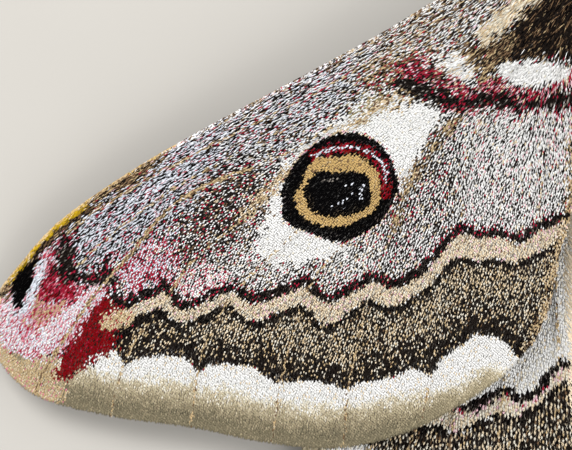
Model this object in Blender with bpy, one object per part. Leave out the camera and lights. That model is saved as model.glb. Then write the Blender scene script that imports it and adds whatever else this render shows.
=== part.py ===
"""Female emperor moth at rest: a still, life-size model that stands on its six feet and its belly.

Metres, +Z up. The body lies along Y with the head towards +Y, the wings spread to both sides.
Plan sizes are in millimetres as (out, along): out from the body's axis, along towards the head.
The model is built about the middle of its thorax and at the end set over the middle of its outline.
"""

import math
import random

import bmesh
import bpy
from mathutils import Matrix, Vector

MM = 0.001
JOINT_GAP = 0.3
SIDES = {"left": -1, "right": 1}

# The resting roof that all four wings share, and how the wings lie in it
ROOT_OUT = 3.4
ROOF_HEIGHT = 5.6
ROOF_FALL_OUT = 0.066
ROOF_FALL_BACK = 0.05
WING_THICKNESS = 0.5
VEIN_HEIGHT = 0.22
VEIN_TAPER = 0.45
VEIN_RISE_ROWS = 2
VEIN_FOOT = 0.3
VEIN_FOOT_MOST = 0.33
COSTA_DROOP = 1.0
COSTA_DROOP_WIDTH = 2.2
COSTA_DROOP_GROWTH = 6.0
COSTA_THICKENING = 0.5
MARGIN_DROOP = 0.5
MARGIN_DROOP_WIDTH = 4.0
HINDWING_DROP = 1.35
HINDWING_REAR_DROP = 0.65
HINDWING_DROP_FROM = 8.0
HINDWING_DROP_TO = 20.0
WING_STATIONS = 11

# Lines of the forewing from its root to its margin, front edge first: (points, where its ridge starts)
FOREWING_LINES = (
    (((ROOT_OUT, 1.9), (7.5, -0.6), (11.65, -3.0), (14.65, -4.8), (19.2, -7.25), (23.5, -9.55),
      (27.1, -11.65), (30.75, -14.25), (33.35, -17.2)), 0.0),
    (((ROOT_OUT, 1.5), (7.3, -1.1), (11.3, -3.9), (14.3, -5.8), (18.9, -8.3), (23.2, -10.45),
      (26.8, -12.4), (29.65, -14.3), (31.7, -16.4), (33.85, -18.9)), 0.0),
    (((ROOT_OUT, 1.15), (7.0, -1.7), (11.0, -4.9), (14.8, -7.2), (19.4, -9.6), (24.5, -12.3),
      (28.2, -15.0), (31.2, -18.0), (33.75, -20.9)), 0.5),
    (((ROOT_OUT, 0.8), (6.8, -2.3), (10.3, -5.4), (13.2, -6.9), (16.8, -9.3), (19.6, -10.9),
      (22.5, -12.0), (24.9, -13.35), (26.8, -15.55), (28.55, -17.55), (29.85, -19.4),
      (31.1, -21.3), (31.8, -22.9)), 0.45),
    (((ROOT_OUT, 0.4), (6.6, -2.8), (10.0, -5.9), (13.4, -7.6), (17.0, -10.1), (19.25, -11.8),
      (20.1, -12.7), (21.55, -14.15), (23.0, -15.3), (24.15, -16.45), (24.9, -17.6),
      (26.5, -19.75), (27.4, -21.6), (27.95, -23.95)), 0.0),
    (((ROOT_OUT, 0.0), (6.3, -3.3), (9.5, -6.7), (12.8, -9.3), (15.8, -11.9), (18.2, -14.2),
      (21.15, -17.0), (22.1, -18.15), (22.8, -19.5), (23.45, -21.0), (23.95, -24.5)), 0.62),
    (((ROOT_OUT, -0.4), (6.0, -3.7), (9.0, -7.1), (11.8, -9.8), (13.9, -12.2), (16.2, -15.1),
      (17.85, -17.1), (18.7, -19.4), (19.4, -22.2), (19.9, -25.3)), 0.5),
    (((ROOT_OUT, -0.8), (5.8, -4.0), (8.4, -6.9), (10.45, -8.6), (12.35, -11.2), (13.3, -12.8),
      (13.8, -14.45), (14.8, -17.2), (15.55, -20.1), (16.05, -22.4), (16.3, -25.5)), 0.0),
    (((ROOT_OUT, -1.2), (5.5, -4.3), (7.8, -7.0), (9.4, -9.0), (10.2, -11.2), (10.45, -14.2),
      (11.0, -15.75), (11.5, -18.5), (11.9, -21.5), (12.5, -24.5)), 0.3),
    (((ROOT_OUT, -1.7), (5.0, -4.6), (6.1, -8.0), (6.5, -12.5), (6.8, -16.5), (7.6, -20.0),
      (8.5, -22.1)), 0.0),
    (((ROOT_OUT, -2.2), (4.5, -4.6), (4.75, -8.0), (4.8, -12.0), (5.1, -14.3), (5.5, -15.6),
      (6.05, -18.3), (6.9, -20.4)), 0.0),
)
# The same for the hindwing
HINDWING_LINES = (
    (((ROOT_OUT, -2.9), (7.0, -7.5), (11.6, -13.5), (15.5, -19.3), (17.8, -23.6), (18.4, -25.9)), 0.0),
    (((ROOT_OUT, -3.1), (6.8, -8.2), (10.9, -14.4), (14.4, -20.1), (16.6, -24.9), (17.6, -27.9)), 0.0),
    (((ROOT_OUT, -3.3), (6.5, -8.8), (10.0, -15.0), (13.2, -20.7), (15.0, -25.6), (16.0, -29.5)), 0.45),
    (((ROOT_OUT, -3.55), (6.2, -9.2), (9.2, -15.4), (11.8, -21.3), (13.2, -26.5), (14.0, -30.8)), 0.45),
    (((ROOT_OUT, -3.8), (5.9, -9.6), (8.3, -15.8), (10.2, -21.8), (11.2, -27.0), (11.6, -31.5)), 0.3),
    (((ROOT_OUT, -4.05), (5.6, -10.0), (7.2, -16.2), (8.2, -22.2), (8.6, -27.0), (8.6, -31.7)), 0.0),
    (((ROOT_OUT, -4.3), (5.1, -10.2), (5.6, -16.2), (5.5, -21.1), (5.5, -27.0), (5.5, -30.9)), 0.0),
    (((ROOT_OUT, -4.6), (4.55, -10.0), (4.7, -16.0), (4.5, -21.5), (4.1, -26.0), (3.9, -29.2)), 0.0),
)

# Body stations: (along, half width, half height, height of the centre), out to the tips of the coat
THORAX_FRONT = 4.3
THORAX_REAR = -4.9
THORAX_STATIONS = (
    (THORAX_FRONT, 1.95, 1.75, 4.75),
    (3.2, 2.6, 2.45, 4.85),
    (1.6, 3.05, 2.9, 4.95),
    (-0.3, 3.15, 3.1, 5.0),
    (-2.2, 3.05, 3.0, 5.0),
    (-3.8, 2.75, 2.65, 4.9),
    (THORAX_REAR, 2.35, 2.2, 4.75),
)
HEAD_STATIONS = (
    (THORAX_FRONT + JOINT_GAP, 1.5, 1.4, 4.65),
    (5.4, 1.75, 1.7, 4.55),
    (6.3, 1.7, 1.65, 4.45),
    (7.1, 1.2, 1.2, 4.3),
    (7.7, 0.5, 0.55, 4.2),
)
ABDOMEN_STATIONS = (
    (THORAX_REAR - JOINT_GAP, 2.4, 2.3, 4.65),
    (-6.4, 3.2, 2.9, 4.3),
    (-8.6, 3.7, 3.2, 3.75),
    (-11.0, 3.9, 3.3, 3.35),
    (-13.4, 3.9, 3.3, 3.2),
    (-15.8, 3.65, 3.15, 3.05),
    (-18.0, 3.1, 2.7, 2.75),
    (-20.0, 2.2, 1.95, 2.5),
    (-21.4, 1.1, 1.0, 2.35),
)
CORE_DEPTH = 0.45
# The core comes out to the coat's tips where the belly rests, between these downward shares
BELLY_FROM = 0.25
BELLY_TO = 0.75
STATION_EASE = 0.65
# Flats that the wing roots face: (rear, front, low, high)
PAD_OUT = ROOT_OUT - JOINT_GAP
FOREWING_PAD = (-2.3, 2.0, 4.85, 5.75)
HINDWING_PAD = (-4.65, -2.8, 3.35, 4.25)
HEAD_FLAT_OUT = 1.2
EYE_RADIUS = 0.95
EYE_CENTRE = Vector((1.15, 6.3, 4.5))

# Locks of the coat: (share of the length, height as a share of the lift, share of the width)
LOCK_STATIONS = ((0.0, 0.0, 0.7), (0.28, 0.4, 1.0), (0.6, 0.8, 0.8), (0.85, 0.97, 0.42))
LOCK_SINK = 0.45
# Rows of locks: (first along, last along, rows, locks in a row, widest angle from the top,
# length, width, depth, lift)
THORAX_LOCKS = (3.7, -3.0, 6, 9, 112.0, 2.1, 1.6, 0.45, 0.3)
ABDOMEN_LOCKS = (-5.7, -19.6, 7, 8, 106.0, 2.9, 2.0, 0.42, 0.3)
HEAD_LOCKS = (5.0, 6.9, 3, 4, 42.0, 1.3, 0.85, 0.32, 0.3)
LEG_LOCK = (1.3, 0.7, 0.3, 0.25)
# Angles of a leg's locks round each stretch, by the stretch's number
LEG_LOCK_ANGLES = ((1, (-0.9, 0.9)), (2, (-1.5, 0.0, 1.5)), (3, (-0.8, 0.8)))
LEG_LOCK_SEAT = 0.15
LEG_LOCK_SINK = 0.4
LOCK_FAN = 0.35
LEAST_LOCK = 0.55
LEAST_IN_ROW = 4
# How far single locks stray in angle, turn and place, and the least and most of their sizes
ANGLE_STRAY = 0.05
TURN_STRAY = 0.16
PLACE_STRAY = 0.15
LENGTH_RANGE = (0.88, 1.14)
WIDTH_RANGE = (0.88, 1.12)
LIFT_RANGE = (0.75, 1.3)
LEG_LENGTH_RANGE = (0.85, 1.15)
LEG_WIDTH_RANGE = (0.9, 1.1)

# Legs: where the hip starts inside the thorax, hip end, knee, ankle and toe, on the right side
LEGS = {
    "front": ((0.9, 2.6, 3.3), (1.9, 3.5, 2.25), (4.1, 5.4, 2.5), (5.0, 8.0, 0.8),
              (5.6, 10.4, 0.3)),
    "mid": ((1.1, 0.3, 3.0), (2.45, 0.4, 1.95), (5.4, 0.5, 2.6), (7.6, 0.1, 0.8),
            (9.9, -0.7, 0.3)),
    "hind": ((1.0, -2.2, 3.0), (2.3, -2.7, 1.95), (4.7, -4.4, 2.2), (6.3, -7.8, 0.8),
             (7.1, -10.6, 0.3)),
}
LEG_RADII = (0.55, 0.6, 0.62, 0.5, 0.5, 0.4, 0.4, 0.36)
HIP_RADIUS = 0.68
THIGH_START = 0.5
FOOT_BEND = 0.35
ANTENNA_POINTS = ((0.75, 6.9, 6.05), (1.15, 7.9, 6.7), (2.2, 9.4, 7.0), (3.5, 10.9, 6.8),
                  (4.8, 12.1, 6.2), (5.9, 12.9, 5.4))
ANTENNA_RADIUS = 0.3
ANTENNA_TIP_RADIUS = 0.14
TOOTH_LENGTH = 0.8
TOOTH_RADIUS = 0.25
TOOTH_TIP_RADIUS = 0.07
TOOTH_PAIRS = 10
TOOTH_FIRST = 1.2
TOOTH_LEAST = 0.55
TOOTH_LEAN = 0.55
TOOTH_TILT = 0.15
# The teeth swell and shrink as half a wave: its stretch and where it starts; the thickness keeps
# at least this share
TOOTH_WAVE = 1.1
TOOTH_WAVE_START = 0.12
TOOTH_GIRTH = 0.6
ANTENNA_STATIONS = 12
ANTENNA_ROOT = 0.9
ANTENNA_ROOT_GIRTH = 1.3

# Sides of the rounds
BODY_SIDES = 20
HEAD_SIDES = 16
HIP_SIDES = 10
LEG_SIDES = 8
EYE_SEGMENTS = 14
EYE_RINGS = 10
ANTENNA_SIDES = 6
TOOTH_SIDES = 4
CURVE_STEPS = 12

# Seeds that vary the locks of each part
COAT_SEEDS = {"thorax": 31, "head": 12, "abdomen": 13, "leg": 14}


def clear_scene():
    for item in list(bpy.data.objects):
        bpy.data.objects.remove(item, do_unlink=True)


def make_material(name, colour, roughness):
    """A Principled finish of one colour."""
    material = bpy.data.materials.new(name)
    material.use_nodes = True
    shader = material.node_tree.nodes["Principled BSDF"]
    shader.inputs["Base Color"].default_value = (*colour, 1.0)
    shader.inputs["Roughness"].default_value = roughness
    return material


def add_object(name, mesh_builder, collection, material):
    """Turns a bmesh in millimetres into a named object in metres."""
    bmesh.ops.scale(mesh_builder, vec=(MM, MM, MM), verts=mesh_builder.verts)
    bmesh.ops.recalc_face_normals(mesh_builder, faces=mesh_builder.faces)
    mesh = bpy.data.meshes.new(name)
    mesh_builder.to_mesh(mesh)
    mesh_builder.free()
    item = bpy.data.objects.new(name, mesh)
    mesh.materials.append(material)
    collection.objects.link(item)
    return item


def smooth_curve(points, count):
    """Points at even lengths along a smooth curve through the given points, ends included."""
    points = [Vector(p) for p in points]
    first = points[0] * 2 - points[1]
    last = points[-1] * 2 - points[-2]
    padded = [first, *points, last]
    fine = []
    for i in range(1, len(padded) - 2):
        a, b, c, d = padded[i - 1:i + 3]
        for j in range(CURVE_STEPS):
            t = j / CURVE_STEPS
            fine.append(0.5 * (2 * b + (c - a) * t + (2 * a - 5 * b + 4 * c - d) * t * t
                               + (3 * b - a - 3 * c + d) * t ** 3))
    fine.append(points[-1])
    lengths = [0.0]
    for a, b in zip(fine, fine[1:]):
        lengths.append(lengths[-1] + (b - a).length)
    found = []
    k = 0
    for i in range(count):
        target = lengths[-1] * i / (count - 1)
        while k < len(lengths) - 2 and lengths[k + 1] < target:
            k += 1
        share = (target - lengths[k]) / max(lengths[k + 1] - lengths[k], 1e-9)
        found.append(fine[k].lerp(fine[k + 1], min(max(share, 0.0), 1.0)))
    return found


def smooth_step(value, low, high):
    t = min(max((value - low) / (high - low), 0.0), 1.0)
    return t * t * (3 - 2 * t)


def distance_to_path(point, path):
    """The least distance in plan from a point to a path."""
    least = math.inf
    for a, b in zip(path, path[1:]):
        run = b - a
        t = min(max((point - a).dot(run) / max(run.length_squared, 1e-12), 0.0), 1.0)
        least = min(least, (point - a - run * t).length)
    return least


def roof_height(out, along):
    return ROOF_HEIGHT - ROOF_FALL_OUT * (out - ROOT_OUT) + ROOF_FALL_BACK * min(along, 0.0)


def build_wing(name, lines, is_hindwing, side, collection, material):
    """A wing as a thin sheet whose grid follows its veins, each vein a ridge in the sheet."""
    paths = [smooth_curve([Vector(p) for p in points], WING_STATIONS) for points, _ in lines]
    front_edge = paths[0]
    margin = [path[-1] for path in paths]
    columns = []
    for k, (path, (_, ridge_from)) in enumerate(zip(paths, lines)):
        columns.append([(p, i / (WING_STATIONS - 1) >= ridge_from and 0 < k < len(paths) - 1)
                        for i, p in enumerate(path)])
        if k + 1 < len(paths):
            for place in ("near", "middle", "far"):
                columns.append([(across_lines(paths, k, place, i), False)
                                for i in range(WING_STATIONS)])
    builder = bmesh.new()
    grid = bmesh.ops.create_grid(builder, x_segments=len(columns) - 1,
                                 y_segments=WING_STATIONS - 1, size=1.0)
    verts = sorted(grid["verts"], key=lambda v: (round(v.co.y, 4), round(v.co.x, 4)))
    slopes = {}
    for index, vert in enumerate(verts):
        row, column = divmod(index, len(columns))
        plan, on_vein = columns[column][row]
        height = roof_height(plan.x, plan.y)
        near_edge = 1 - min(distance_to_path(plan, front_edge) / COSTA_DROOP_WIDTH, 1.0)
        near_margin = 1 - min(distance_to_path(plan, margin) / MARGIN_DROOP_WIDTH, 1.0)
        grown = smooth_step(plan.x, ROOT_OUT, ROOT_OUT + COSTA_DROOP_GROWTH)
        if is_hindwing:
            reach = math.hypot(plan.x, plan.y)
            height -= HINDWING_DROP + HINDWING_REAR_DROP * smooth_step(
                reach, HINDWING_DROP_FROM, HINDWING_DROP_TO)
        else:
            height -= COSTA_DROOP * near_edge ** 2 * grown + MARGIN_DROOP * near_margin ** 2
        if on_vein:
            taper = 1 - VEIN_TAPER * row / (WING_STATIONS - 1)
            height += VEIN_HEIGHT * taper * min(row / VEIN_RISE_ROWS, 1.0)
        vert.co = Vector((side * plan.x, plan.y, height))
        slopes[vert] = 1 + (COSTA_THICKENING * near_edge * grown if not is_hindwing else 0.0)
    bmesh.ops.triangulate(builder, faces=builder.faces, quad_method="FIXED")
    upper = list(builder.verts)
    copied = bmesh.ops.duplicate(builder, geom=builder.faces)
    lower_of = {v: copied["vert_map"][v] for v in upper}
    for vert in upper:
        lower_of[vert].co.z -= WING_THICKNESS * slopes[vert]
    bmesh.ops.reverse_faces(builder, faces=[f for f in copied["geom"]
                                            if isinstance(f, bmesh.types.BMFace)])
    rims = [e for e in builder.edges if e.is_boundary]
    bmesh.ops.bridge_loops(builder, edges=rims)
    bmesh.ops.triangulate(builder, faces=[f for f in builder.faces if len(f.verts) > 3])
    return add_object(name, builder, collection, material)


def across_lines(paths, k, place, i):
    """A point between line k and the next: near and far are the feet of the veins' ridges."""
    b, c = paths[k][i], paths[k + 1][i]
    a = paths[k - 1][i] if k > 0 else b * 2 - c
    d = paths[k + 2][i] if k + 2 < len(paths) else c * 2 - b
    foot = min(VEIN_FOOT / max((c - b).length, 1e-6), VEIN_FOOT_MOST)
    t = {"near": foot, "middle": 0.5, "far": 1 - foot}[place]
    return 0.5 * (2 * b + (c - a) * t + (2 * a - 5 * b + 4 * c - d) * t * t
                  + (3 * b - a - 3 * c + d) * t ** 3)


def ellipsoid(centre, half, segments, rings):
    """An ellipsoid with its poles along Y."""
    builder = bmesh.new()
    bmesh.ops.create_uvsphere(builder, u_segments=segments, v_segments=rings, radius=1.0)
    bmesh.ops.rotate(builder, verts=builder.verts, matrix=Matrix.Rotation(math.pi / 2, 3, "X"))
    bmesh.ops.scale(builder, verts=builder.verts, vec=half)
    bmesh.ops.translate(builder, verts=builder.verts, vec=centre)
    return builder


def cut_flat(builder, point, normal):
    """Takes off what lies beyond a plane and closes the cut."""
    geom = list(builder.verts) + list(builder.edges) + list(builder.faces)
    cut = bmesh.ops.bisect_plane(builder, geom=geom, plane_co=point, plane_no=normal,
                                 clear_outer=True, dist=1e-5)
    edges = [e for e in cut["geom_cut"] if isinstance(e, bmesh.types.BMEdge)]
    bmesh.ops.edgenet_fill(builder, edges=edges)


def tube_between(start, end, radius, sides):
    """A closed cylinder from one point to another."""
    builder = bmesh.new()
    run = end - start
    bmesh.ops.create_cone(builder, cap_ends=True, segments=sides, radius1=radius, radius2=radius,
                          depth=run.length)
    turn = run.to_track_quat("Z", "Y").to_matrix()
    bmesh.ops.rotate(builder, verts=builder.verts, matrix=turn)
    bmesh.ops.translate(builder, verts=builder.verts, vec=(start + end) / 2)
    return builder


def box_between(low, high):
    builder = bmesh.new()
    bmesh.ops.create_cube(builder, size=1.0)
    bmesh.ops.scale(builder, verts=builder.verts, vec=high - low)
    bmesh.ops.translate(builder, verts=builder.verts, vec=(low + high) / 2)
    return builder


def tapered_tube(points, radii, sides):
    """A tube along points with a radius at each, closed at both ends."""
    builder = bmesh.new()
    rings = []
    up = Vector((0, 0, 1))
    for i, (point, radius) in enumerate(zip(points, radii)):
        run = points[min(i + 1, len(points) - 1)] - points[max(i - 1, 0)]
        run.normalize()
        across = run.cross(up).normalized()
        over = across.cross(run)
        ring = []
        for j in range(sides):
            angle = 2 * math.pi * (j + 0.5) / sides
            ring.append(builder.verts.new(point + across * radius * math.cos(angle)
                                          + over * radius * math.sin(angle)))
        rings.append(ring)
    for a, b in zip(rings, rings[1:]):
        for j in range(sides):
            builder.faces.new((a[j], a[(j + 1) % sides], b[(j + 1) % sides], b[j]))
    builder.faces.new(list(reversed(rings[0])))
    builder.faces.new(rings[-1])
    return builder


def spindle_section(stations, along):
    """Half width, half height and centre height of a body at a place along it."""
    path = sorted(stations)
    along = min(max(along, path[0][0]), path[-1][0])
    for low, high in zip(path, path[1:]):
        if along <= high[0]:
            t = (along - low[0]) / (high[0] - low[0])
            t += STATION_EASE * (smooth_step(t, 0.0, 1.0) - t)
            return [a + (b - a) * t for a, b in zip(low[1:], high[1:])]
    return list(path[-1][1:])


def core_depth(angle):
    """How far the core lies under the tips: fully on top, not at all where the belly rests."""
    return CORE_DEPTH * (1 - smooth_step(-math.cos(angle), BELLY_FROM, BELLY_TO))


def spindle_point(stations, along, angle):
    """A point of a body's core, and its outward normal; the angle starts at the top."""
    wide, high, centre = spindle_section(stations, along)
    depth = core_depth(angle)
    wide, high = wide - depth, high - depth
    point = Vector((wide * math.sin(angle), along, centre + high * math.cos(angle)))
    normal = Vector((math.sin(angle) / wide, 0.0, math.cos(angle) / high)).normalized()
    return point, normal


def spindle(stations, sides):
    """A body's core as a closed mesh with a flat at each end."""
    builder = bmesh.new()
    rings = []
    for along, *_ in stations:
        rings.append([builder.verts.new(spindle_point(stations, along, 2 * math.pi * j / sides)[0])
                      for j in range(sides)])
    for a, b in zip(rings, rings[1:]):
        for j in range(sides):
            builder.faces.new((a[j], a[(j + 1) % sides], b[(j + 1) % sides], b[j]))
    builder.faces.new(rings[0])
    builder.faces.new(list(reversed(rings[-1])))
    return builder


def lock(trail, width, depth):
    """A flat tapered lock with a keel, along a trail of (point, normal) from root to tip."""
    builder = bmesh.new()
    rings = []
    for i, (_, _, share) in enumerate(LOCK_STATIONS):
        point, normal = trail[i]
        run = trail[i + 1][0] - trail[max(i - 1, 0)][0]
        across = run.cross(normal).normalized()
        rings.append([builder.verts.new(point - across * width * share / 2),
                      builder.verts.new(point + across * width * share / 2),
                      builder.verts.new(point + normal * depth * share)])
    tip = builder.verts.new(trail[-1][0])
    for a, b in zip(rings, rings[1:]):
        for j in range(3):
            builder.faces.new((a[j], a[(j + 1) % 3], b[(j + 1) % 3], b[j]))
    for j in range(3):
        builder.faces.new((rings[-1][j], rings[-1][(j + 1) % 3], tip))
    builder.faces.new(list(reversed(rings[0])))
    return builder


def body_lock(stations, along, angle, length, turn, lift, forward):
    """The trail of a lock that lies along a body's surface and lifts off it towards its tip."""
    trail = []
    girth = spindle_section(stations, along)[0]
    for share, rise, _ in (*LOCK_STATIONS, (1.0, 1.0, 0.0)):
        way = along + forward * length * share * math.cos(turn)
        place = angle + length * share * math.sin(turn) / girth
        point, normal = spindle_point(stations, way, place)
        point += normal * (lift * rise if share else -LOCK_SINK)
        trail.append((point, normal))
    return trail


def coat_locks(stations, rows, forward):
    """Rows of overlapping locks over a body, each a little different."""
    first, last, count, in_row, widest, length, width, depth, lift = rows
    made = []
    for i in range(count):
        along = first + (last - first) * i / (count - 1)
        girth = spindle_section(stations, along)[0] / stations[2][1]
        size = min(1.0, LEAST_LOCK + (1 - LEAST_LOCK) * girth)
        number = max(round(in_row * size), LEAST_IN_ROW)
        for j in range(number - i % 2):
            share = (j + 0.5 * (i % 2)) / (number - 1) * 2 - 1
            angle = math.radians(widest) * share + random.uniform(-ANGLE_STRAY, ANGLE_STRAY)
            turn = LOCK_FAN * share + random.uniform(-TURN_STRAY, TURN_STRAY)
            long = length * size * random.uniform(*LENGTH_RANGE)
            place = along + random.uniform(-PLACE_STRAY, PLACE_STRAY)
            trail = body_lock(stations, place, angle, long, turn,
                              lift * random.uniform(*LIFT_RANGE), forward)
            made.append(lock(trail, width * size * random.uniform(*WIDTH_RANGE), depth))
    return made


def leg_locks(path, radii):
    """Locks on a leg from the thigh to the ankle, lying towards the foot."""
    length, width, depth, lift = LEG_LOCK
    made = []
    for i, angles in LEG_LOCK_ANGLES:
        start, run = path[i], (path[i + 1] - path[i]).normalized()
        across = run.cross(Vector((0, 0, 1))).normalized()
        over = across.cross(run)
        for angle in angles:
            angle += random.uniform(-PLACE_STRAY, PLACE_STRAY)
            normal = over * math.cos(angle) + across * math.sin(angle)
            long = length * random.uniform(*LEG_LENGTH_RANGE)
            trail = []
            for share, rise, _ in (*LOCK_STATIONS, (1.0, 1.0, 0.0)):
                height = radii[i] - LEG_LOCK_SEAT + lift * rise if share else radii[i] - LEG_LOCK_SINK
                trail.append((start + run * long * share + normal * height, normal))
            made.append(lock(trail, width * random.uniform(*LEG_WIDTH_RANGE), depth))
    return made


def antenna_teeth(path):
    """Pairs of short comb teeth along a feeler, shorter towards its tip."""
    made = []
    for i in range(TOOTH_PAIRS):
        share = (i + TOOTH_FIRST) / (TOOTH_PAIRS + TOOTH_FIRST)
        place = share * (len(path) - 1)
        k = min(int(place), len(path) - 2)
        base = path[k].lerp(path[k + 1], place - k)
        run = (path[k + 1] - path[k]).normalized()
        across = run.cross(Vector((TOOTH_TILT, 0.0, 1.0))).normalized()
        wave = math.sin(math.pi * min(share * TOOTH_WAVE + TOOTH_WAVE_START, 1.0))
        size = TOOTH_LEAST + (1 - TOOTH_LEAST) * wave
        girth = TOOTH_RADIUS * (TOOTH_GIRTH + (1 - TOOTH_GIRTH) * size)
        for hand in (-1, 1):
            lean = (across * hand + run * TOOTH_LEAN).normalized()
            end = base + lean * (ANTENNA_RADIUS * TOOTH_GIRTH + TOOTH_LENGTH * size)
            made.append(tapered_tube([base, end], (girth, TOOTH_TIP_RADIUS), TOOTH_SIDES))
    return made


def fuse(name, builders, collection, material):
    """Joins closed pieces into one node and keeps its largest closed surface."""
    body = add_object(name, builders[0], collection, material)
    if len(builders) > 1:
        pieces = bpy.data.collections.new(name + "_pieces")
        bpy.context.scene.collection.children.link(pieces)
        for i, builder in enumerate(builders[1:]):
            add_object(f"{name}_piece_{i}", builder, pieces, material)
        union = body.modifiers.new("union", "BOOLEAN")
        union.operation = "UNION"
        union.solver = "EXACT"
        union.operand_type = "COLLECTION"
        union.collection = pieces
        bpy.context.view_layer.update()
        evaluated = body.evaluated_get(bpy.context.evaluated_depsgraph_get())
        joined = bpy.data.meshes.new_from_object(evaluated)
        body.modifiers.clear()
        body.data = joined
        for item in list(pieces.objects):
            bpy.data.objects.remove(item, do_unlink=True)
        bpy.data.collections.remove(pieces)
        keep_largest(body)
    for face in body.data.polygons:
        face.use_smooth = True
    return body


def keep_largest(body):
    """Drops all but the largest closed surface of a fused node."""
    builder = bmesh.new()
    builder.from_mesh(body.data)
    left = set(builder.faces)
    groups = []
    while left:
        seed = left.pop()
        group, front = [seed], [seed]
        while front:
            for edge in front.pop().edges:
                for face in edge.link_faces:
                    if len(edge.link_faces) == 2 and face in left:
                        left.discard(face)
                        group.append(face)
                        front.append(face)
        groups.append(group)
    largest = max(groups, key=len)
    drop = [f for group in groups if group is not largest for f in group]
    bmesh.ops.delete(builder, geom=drop, context="FACES")
    builder.to_mesh(body.data)
    builder.free()


def mirrored(point, side):
    return Vector((point[0] * side, point[1], point[2]))


def build_thorax(collection, material):
    pieces = [spindle(THORAX_STATIONS, BODY_SIDES)]
    pieces.extend(box_between(Vector((-PAD_OUT, rear, low)), Vector((PAD_OUT, front, high)))
                  for rear, front, low, high in (FOREWING_PAD, HINDWING_PAD))
    for kind in LEGS:
        for side in SIDES.values():
            inner, hip = (mirrored(p, side) for p in LEGS[kind][:2])
            pieces.append(tube_between(inner, hip, HIP_RADIUS, HIP_SIDES))
    random.seed(COAT_SEEDS["thorax"])
    pieces.extend(coat_locks(THORAX_STATIONS, THORAX_LOCKS, -1))
    return fuse("thorax", pieces, collection, material)


def build_head(collection, material):
    body = spindle(HEAD_STATIONS, HEAD_SIDES)
    for side in SIDES.values():
        cut_flat(body, Vector((side * HEAD_FLAT_OUT, 0, 0)), Vector((side, 0, 0)))
    pieces = [body]
    for side in SIDES.values():
        base, after = (mirrored(p, side) for p in ANTENNA_POINTS[:2])
        run = (after - base).normalized()
        pieces.append(tube_between(base - run * ANTENNA_ROOT, base,
                                   ANTENNA_RADIUS * ANTENNA_ROOT_GIRTH, LEG_SIDES))
    random.seed(COAT_SEEDS["head"])
    pieces.extend(coat_locks(HEAD_STATIONS, HEAD_LOCKS, 1))
    return fuse("head", pieces, collection, material)


def build_eye(name, side, collection, material):
    centre = mirrored(EYE_CENTRE, side)
    body = ellipsoid(centre, Vector((EYE_RADIUS,) * 3), EYE_SEGMENTS, EYE_RINGS)
    cut_flat(body, Vector((side * (HEAD_FLAT_OUT + JOINT_GAP), 0, 0)), Vector((-side, 0, 0)))
    return fuse(name, [body], collection, material)


def build_abdomen(collection, material):
    body = spindle(ABDOMEN_STATIONS, BODY_SIDES)
    cut_flat(body, Vector((0, 0, 0)), Vector((0, 0, -1)))
    random.seed(COAT_SEEDS["abdomen"])
    pieces = [body, *coat_locks(ABDOMEN_STATIONS, ABDOMEN_LOCKS, -1)]
    return fuse("abdomen", pieces, collection, material)


def build_leg(kind, label, side, collection, material):
    inner, hip, knee, ankle, toe = (mirrored(p, side) for p in LEGS[kind])
    run = (hip - inner).normalized()
    start = hip + run * JOINT_GAP
    bend = start + run * THIGH_START
    points = [start, bend, bend.lerp(knee, 0.5), knee, knee.lerp(ankle, 0.5), ankle,
              ankle.lerp(toe, FOOT_BEND), toe]
    points[-2].z = toe.z
    body = tapered_tube(points, LEG_RADII, LEG_SIDES)
    cut_flat(body, Vector((0, 0, 0)), Vector((0, 0, -1)))
    random.seed(COAT_SEEDS["leg"] + list(LEGS).index(kind))
    pieces = [body, *leg_locks(points, LEG_RADII)]
    return fuse(f"leg_{kind}_{label}", pieces, collection, material)


def build_antenna(label, side, collection, material):
    points = [mirrored(p, side) for p in ANTENNA_POINTS]
    points[0] += (points[1] - points[0]).normalized() * JOINT_GAP
    path = smooth_curve(points, ANTENNA_STATIONS)
    taper = (ANTENNA_TIP_RADIUS - ANTENNA_RADIUS) / (ANTENNA_STATIONS - 1)
    radii = [ANTENNA_RADIUS + taper * i for i in range(ANTENNA_STATIONS)]
    pieces = [tapered_tube(path, radii, ANTENNA_SIDES), *antenna_teeth(path)]
    return fuse(f"antenna_{label}", pieces, collection, material)


def centre_over_origin(items):
    """Sets the model over the origin, in the middle of its outline from above."""
    corners = [v.co for item in items for v in item.data.vertices]
    low = min(c.y for c in corners)
    high = max(c.y for c in corners)
    shift = Matrix.Translation((0.0, -(low + high) / 2, 0.0))
    for item in items:
        item.data.transform(shift)


def main():
    clear_scene()
    collection = bpy.data.collections.new("emperor_moth")
    bpy.context.scene.collection.children.link(collection)
    wing = make_material("wing_scales", (0.52, 0.47, 0.44), 0.7)
    fur = make_material("body_fur", (0.2, 0.16, 0.13), 0.85)
    belly = make_material("abdomen_fur", (0.5, 0.45, 0.4), 0.85)
    horn = make_material("horn", (0.3, 0.2, 0.12), 0.5)
    eye = make_material("eye", (0.03, 0.02, 0.02), 0.2)
    items = [build_thorax(collection, fur), build_head(collection, fur),
             build_abdomen(collection, belly)]
    for label, side in SIDES.items():
        items.append(build_wing(f"forewing_{label}", FOREWING_LINES, False, side, collection, wing))
        items.append(build_wing(f"hindwing_{label}", HINDWING_LINES, True, side, collection, wing))
        items.append(build_eye(f"eye_{label}", side, collection, eye))
        items.append(build_antenna(label, side, collection, horn))
        for kind in LEGS:
            items.append(build_leg(kind, label, side, collection, fur))
    centre_over_origin(items)


main()
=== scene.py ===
"""Female emperor moth at rest: furred body and four eyespotted wings under single-coloured scales.

The whole moth is built; the camera looks straight down on its left forewing. Lengths in the code are
millimetres until a mesh is written. Plan positions are (out, along): out from the middle of the body,
along towards the head from the middle of the thorax.
"""

import logging
import math
from contextlib import contextmanager
from dataclasses import dataclass, field
from enum import Enum

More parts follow.
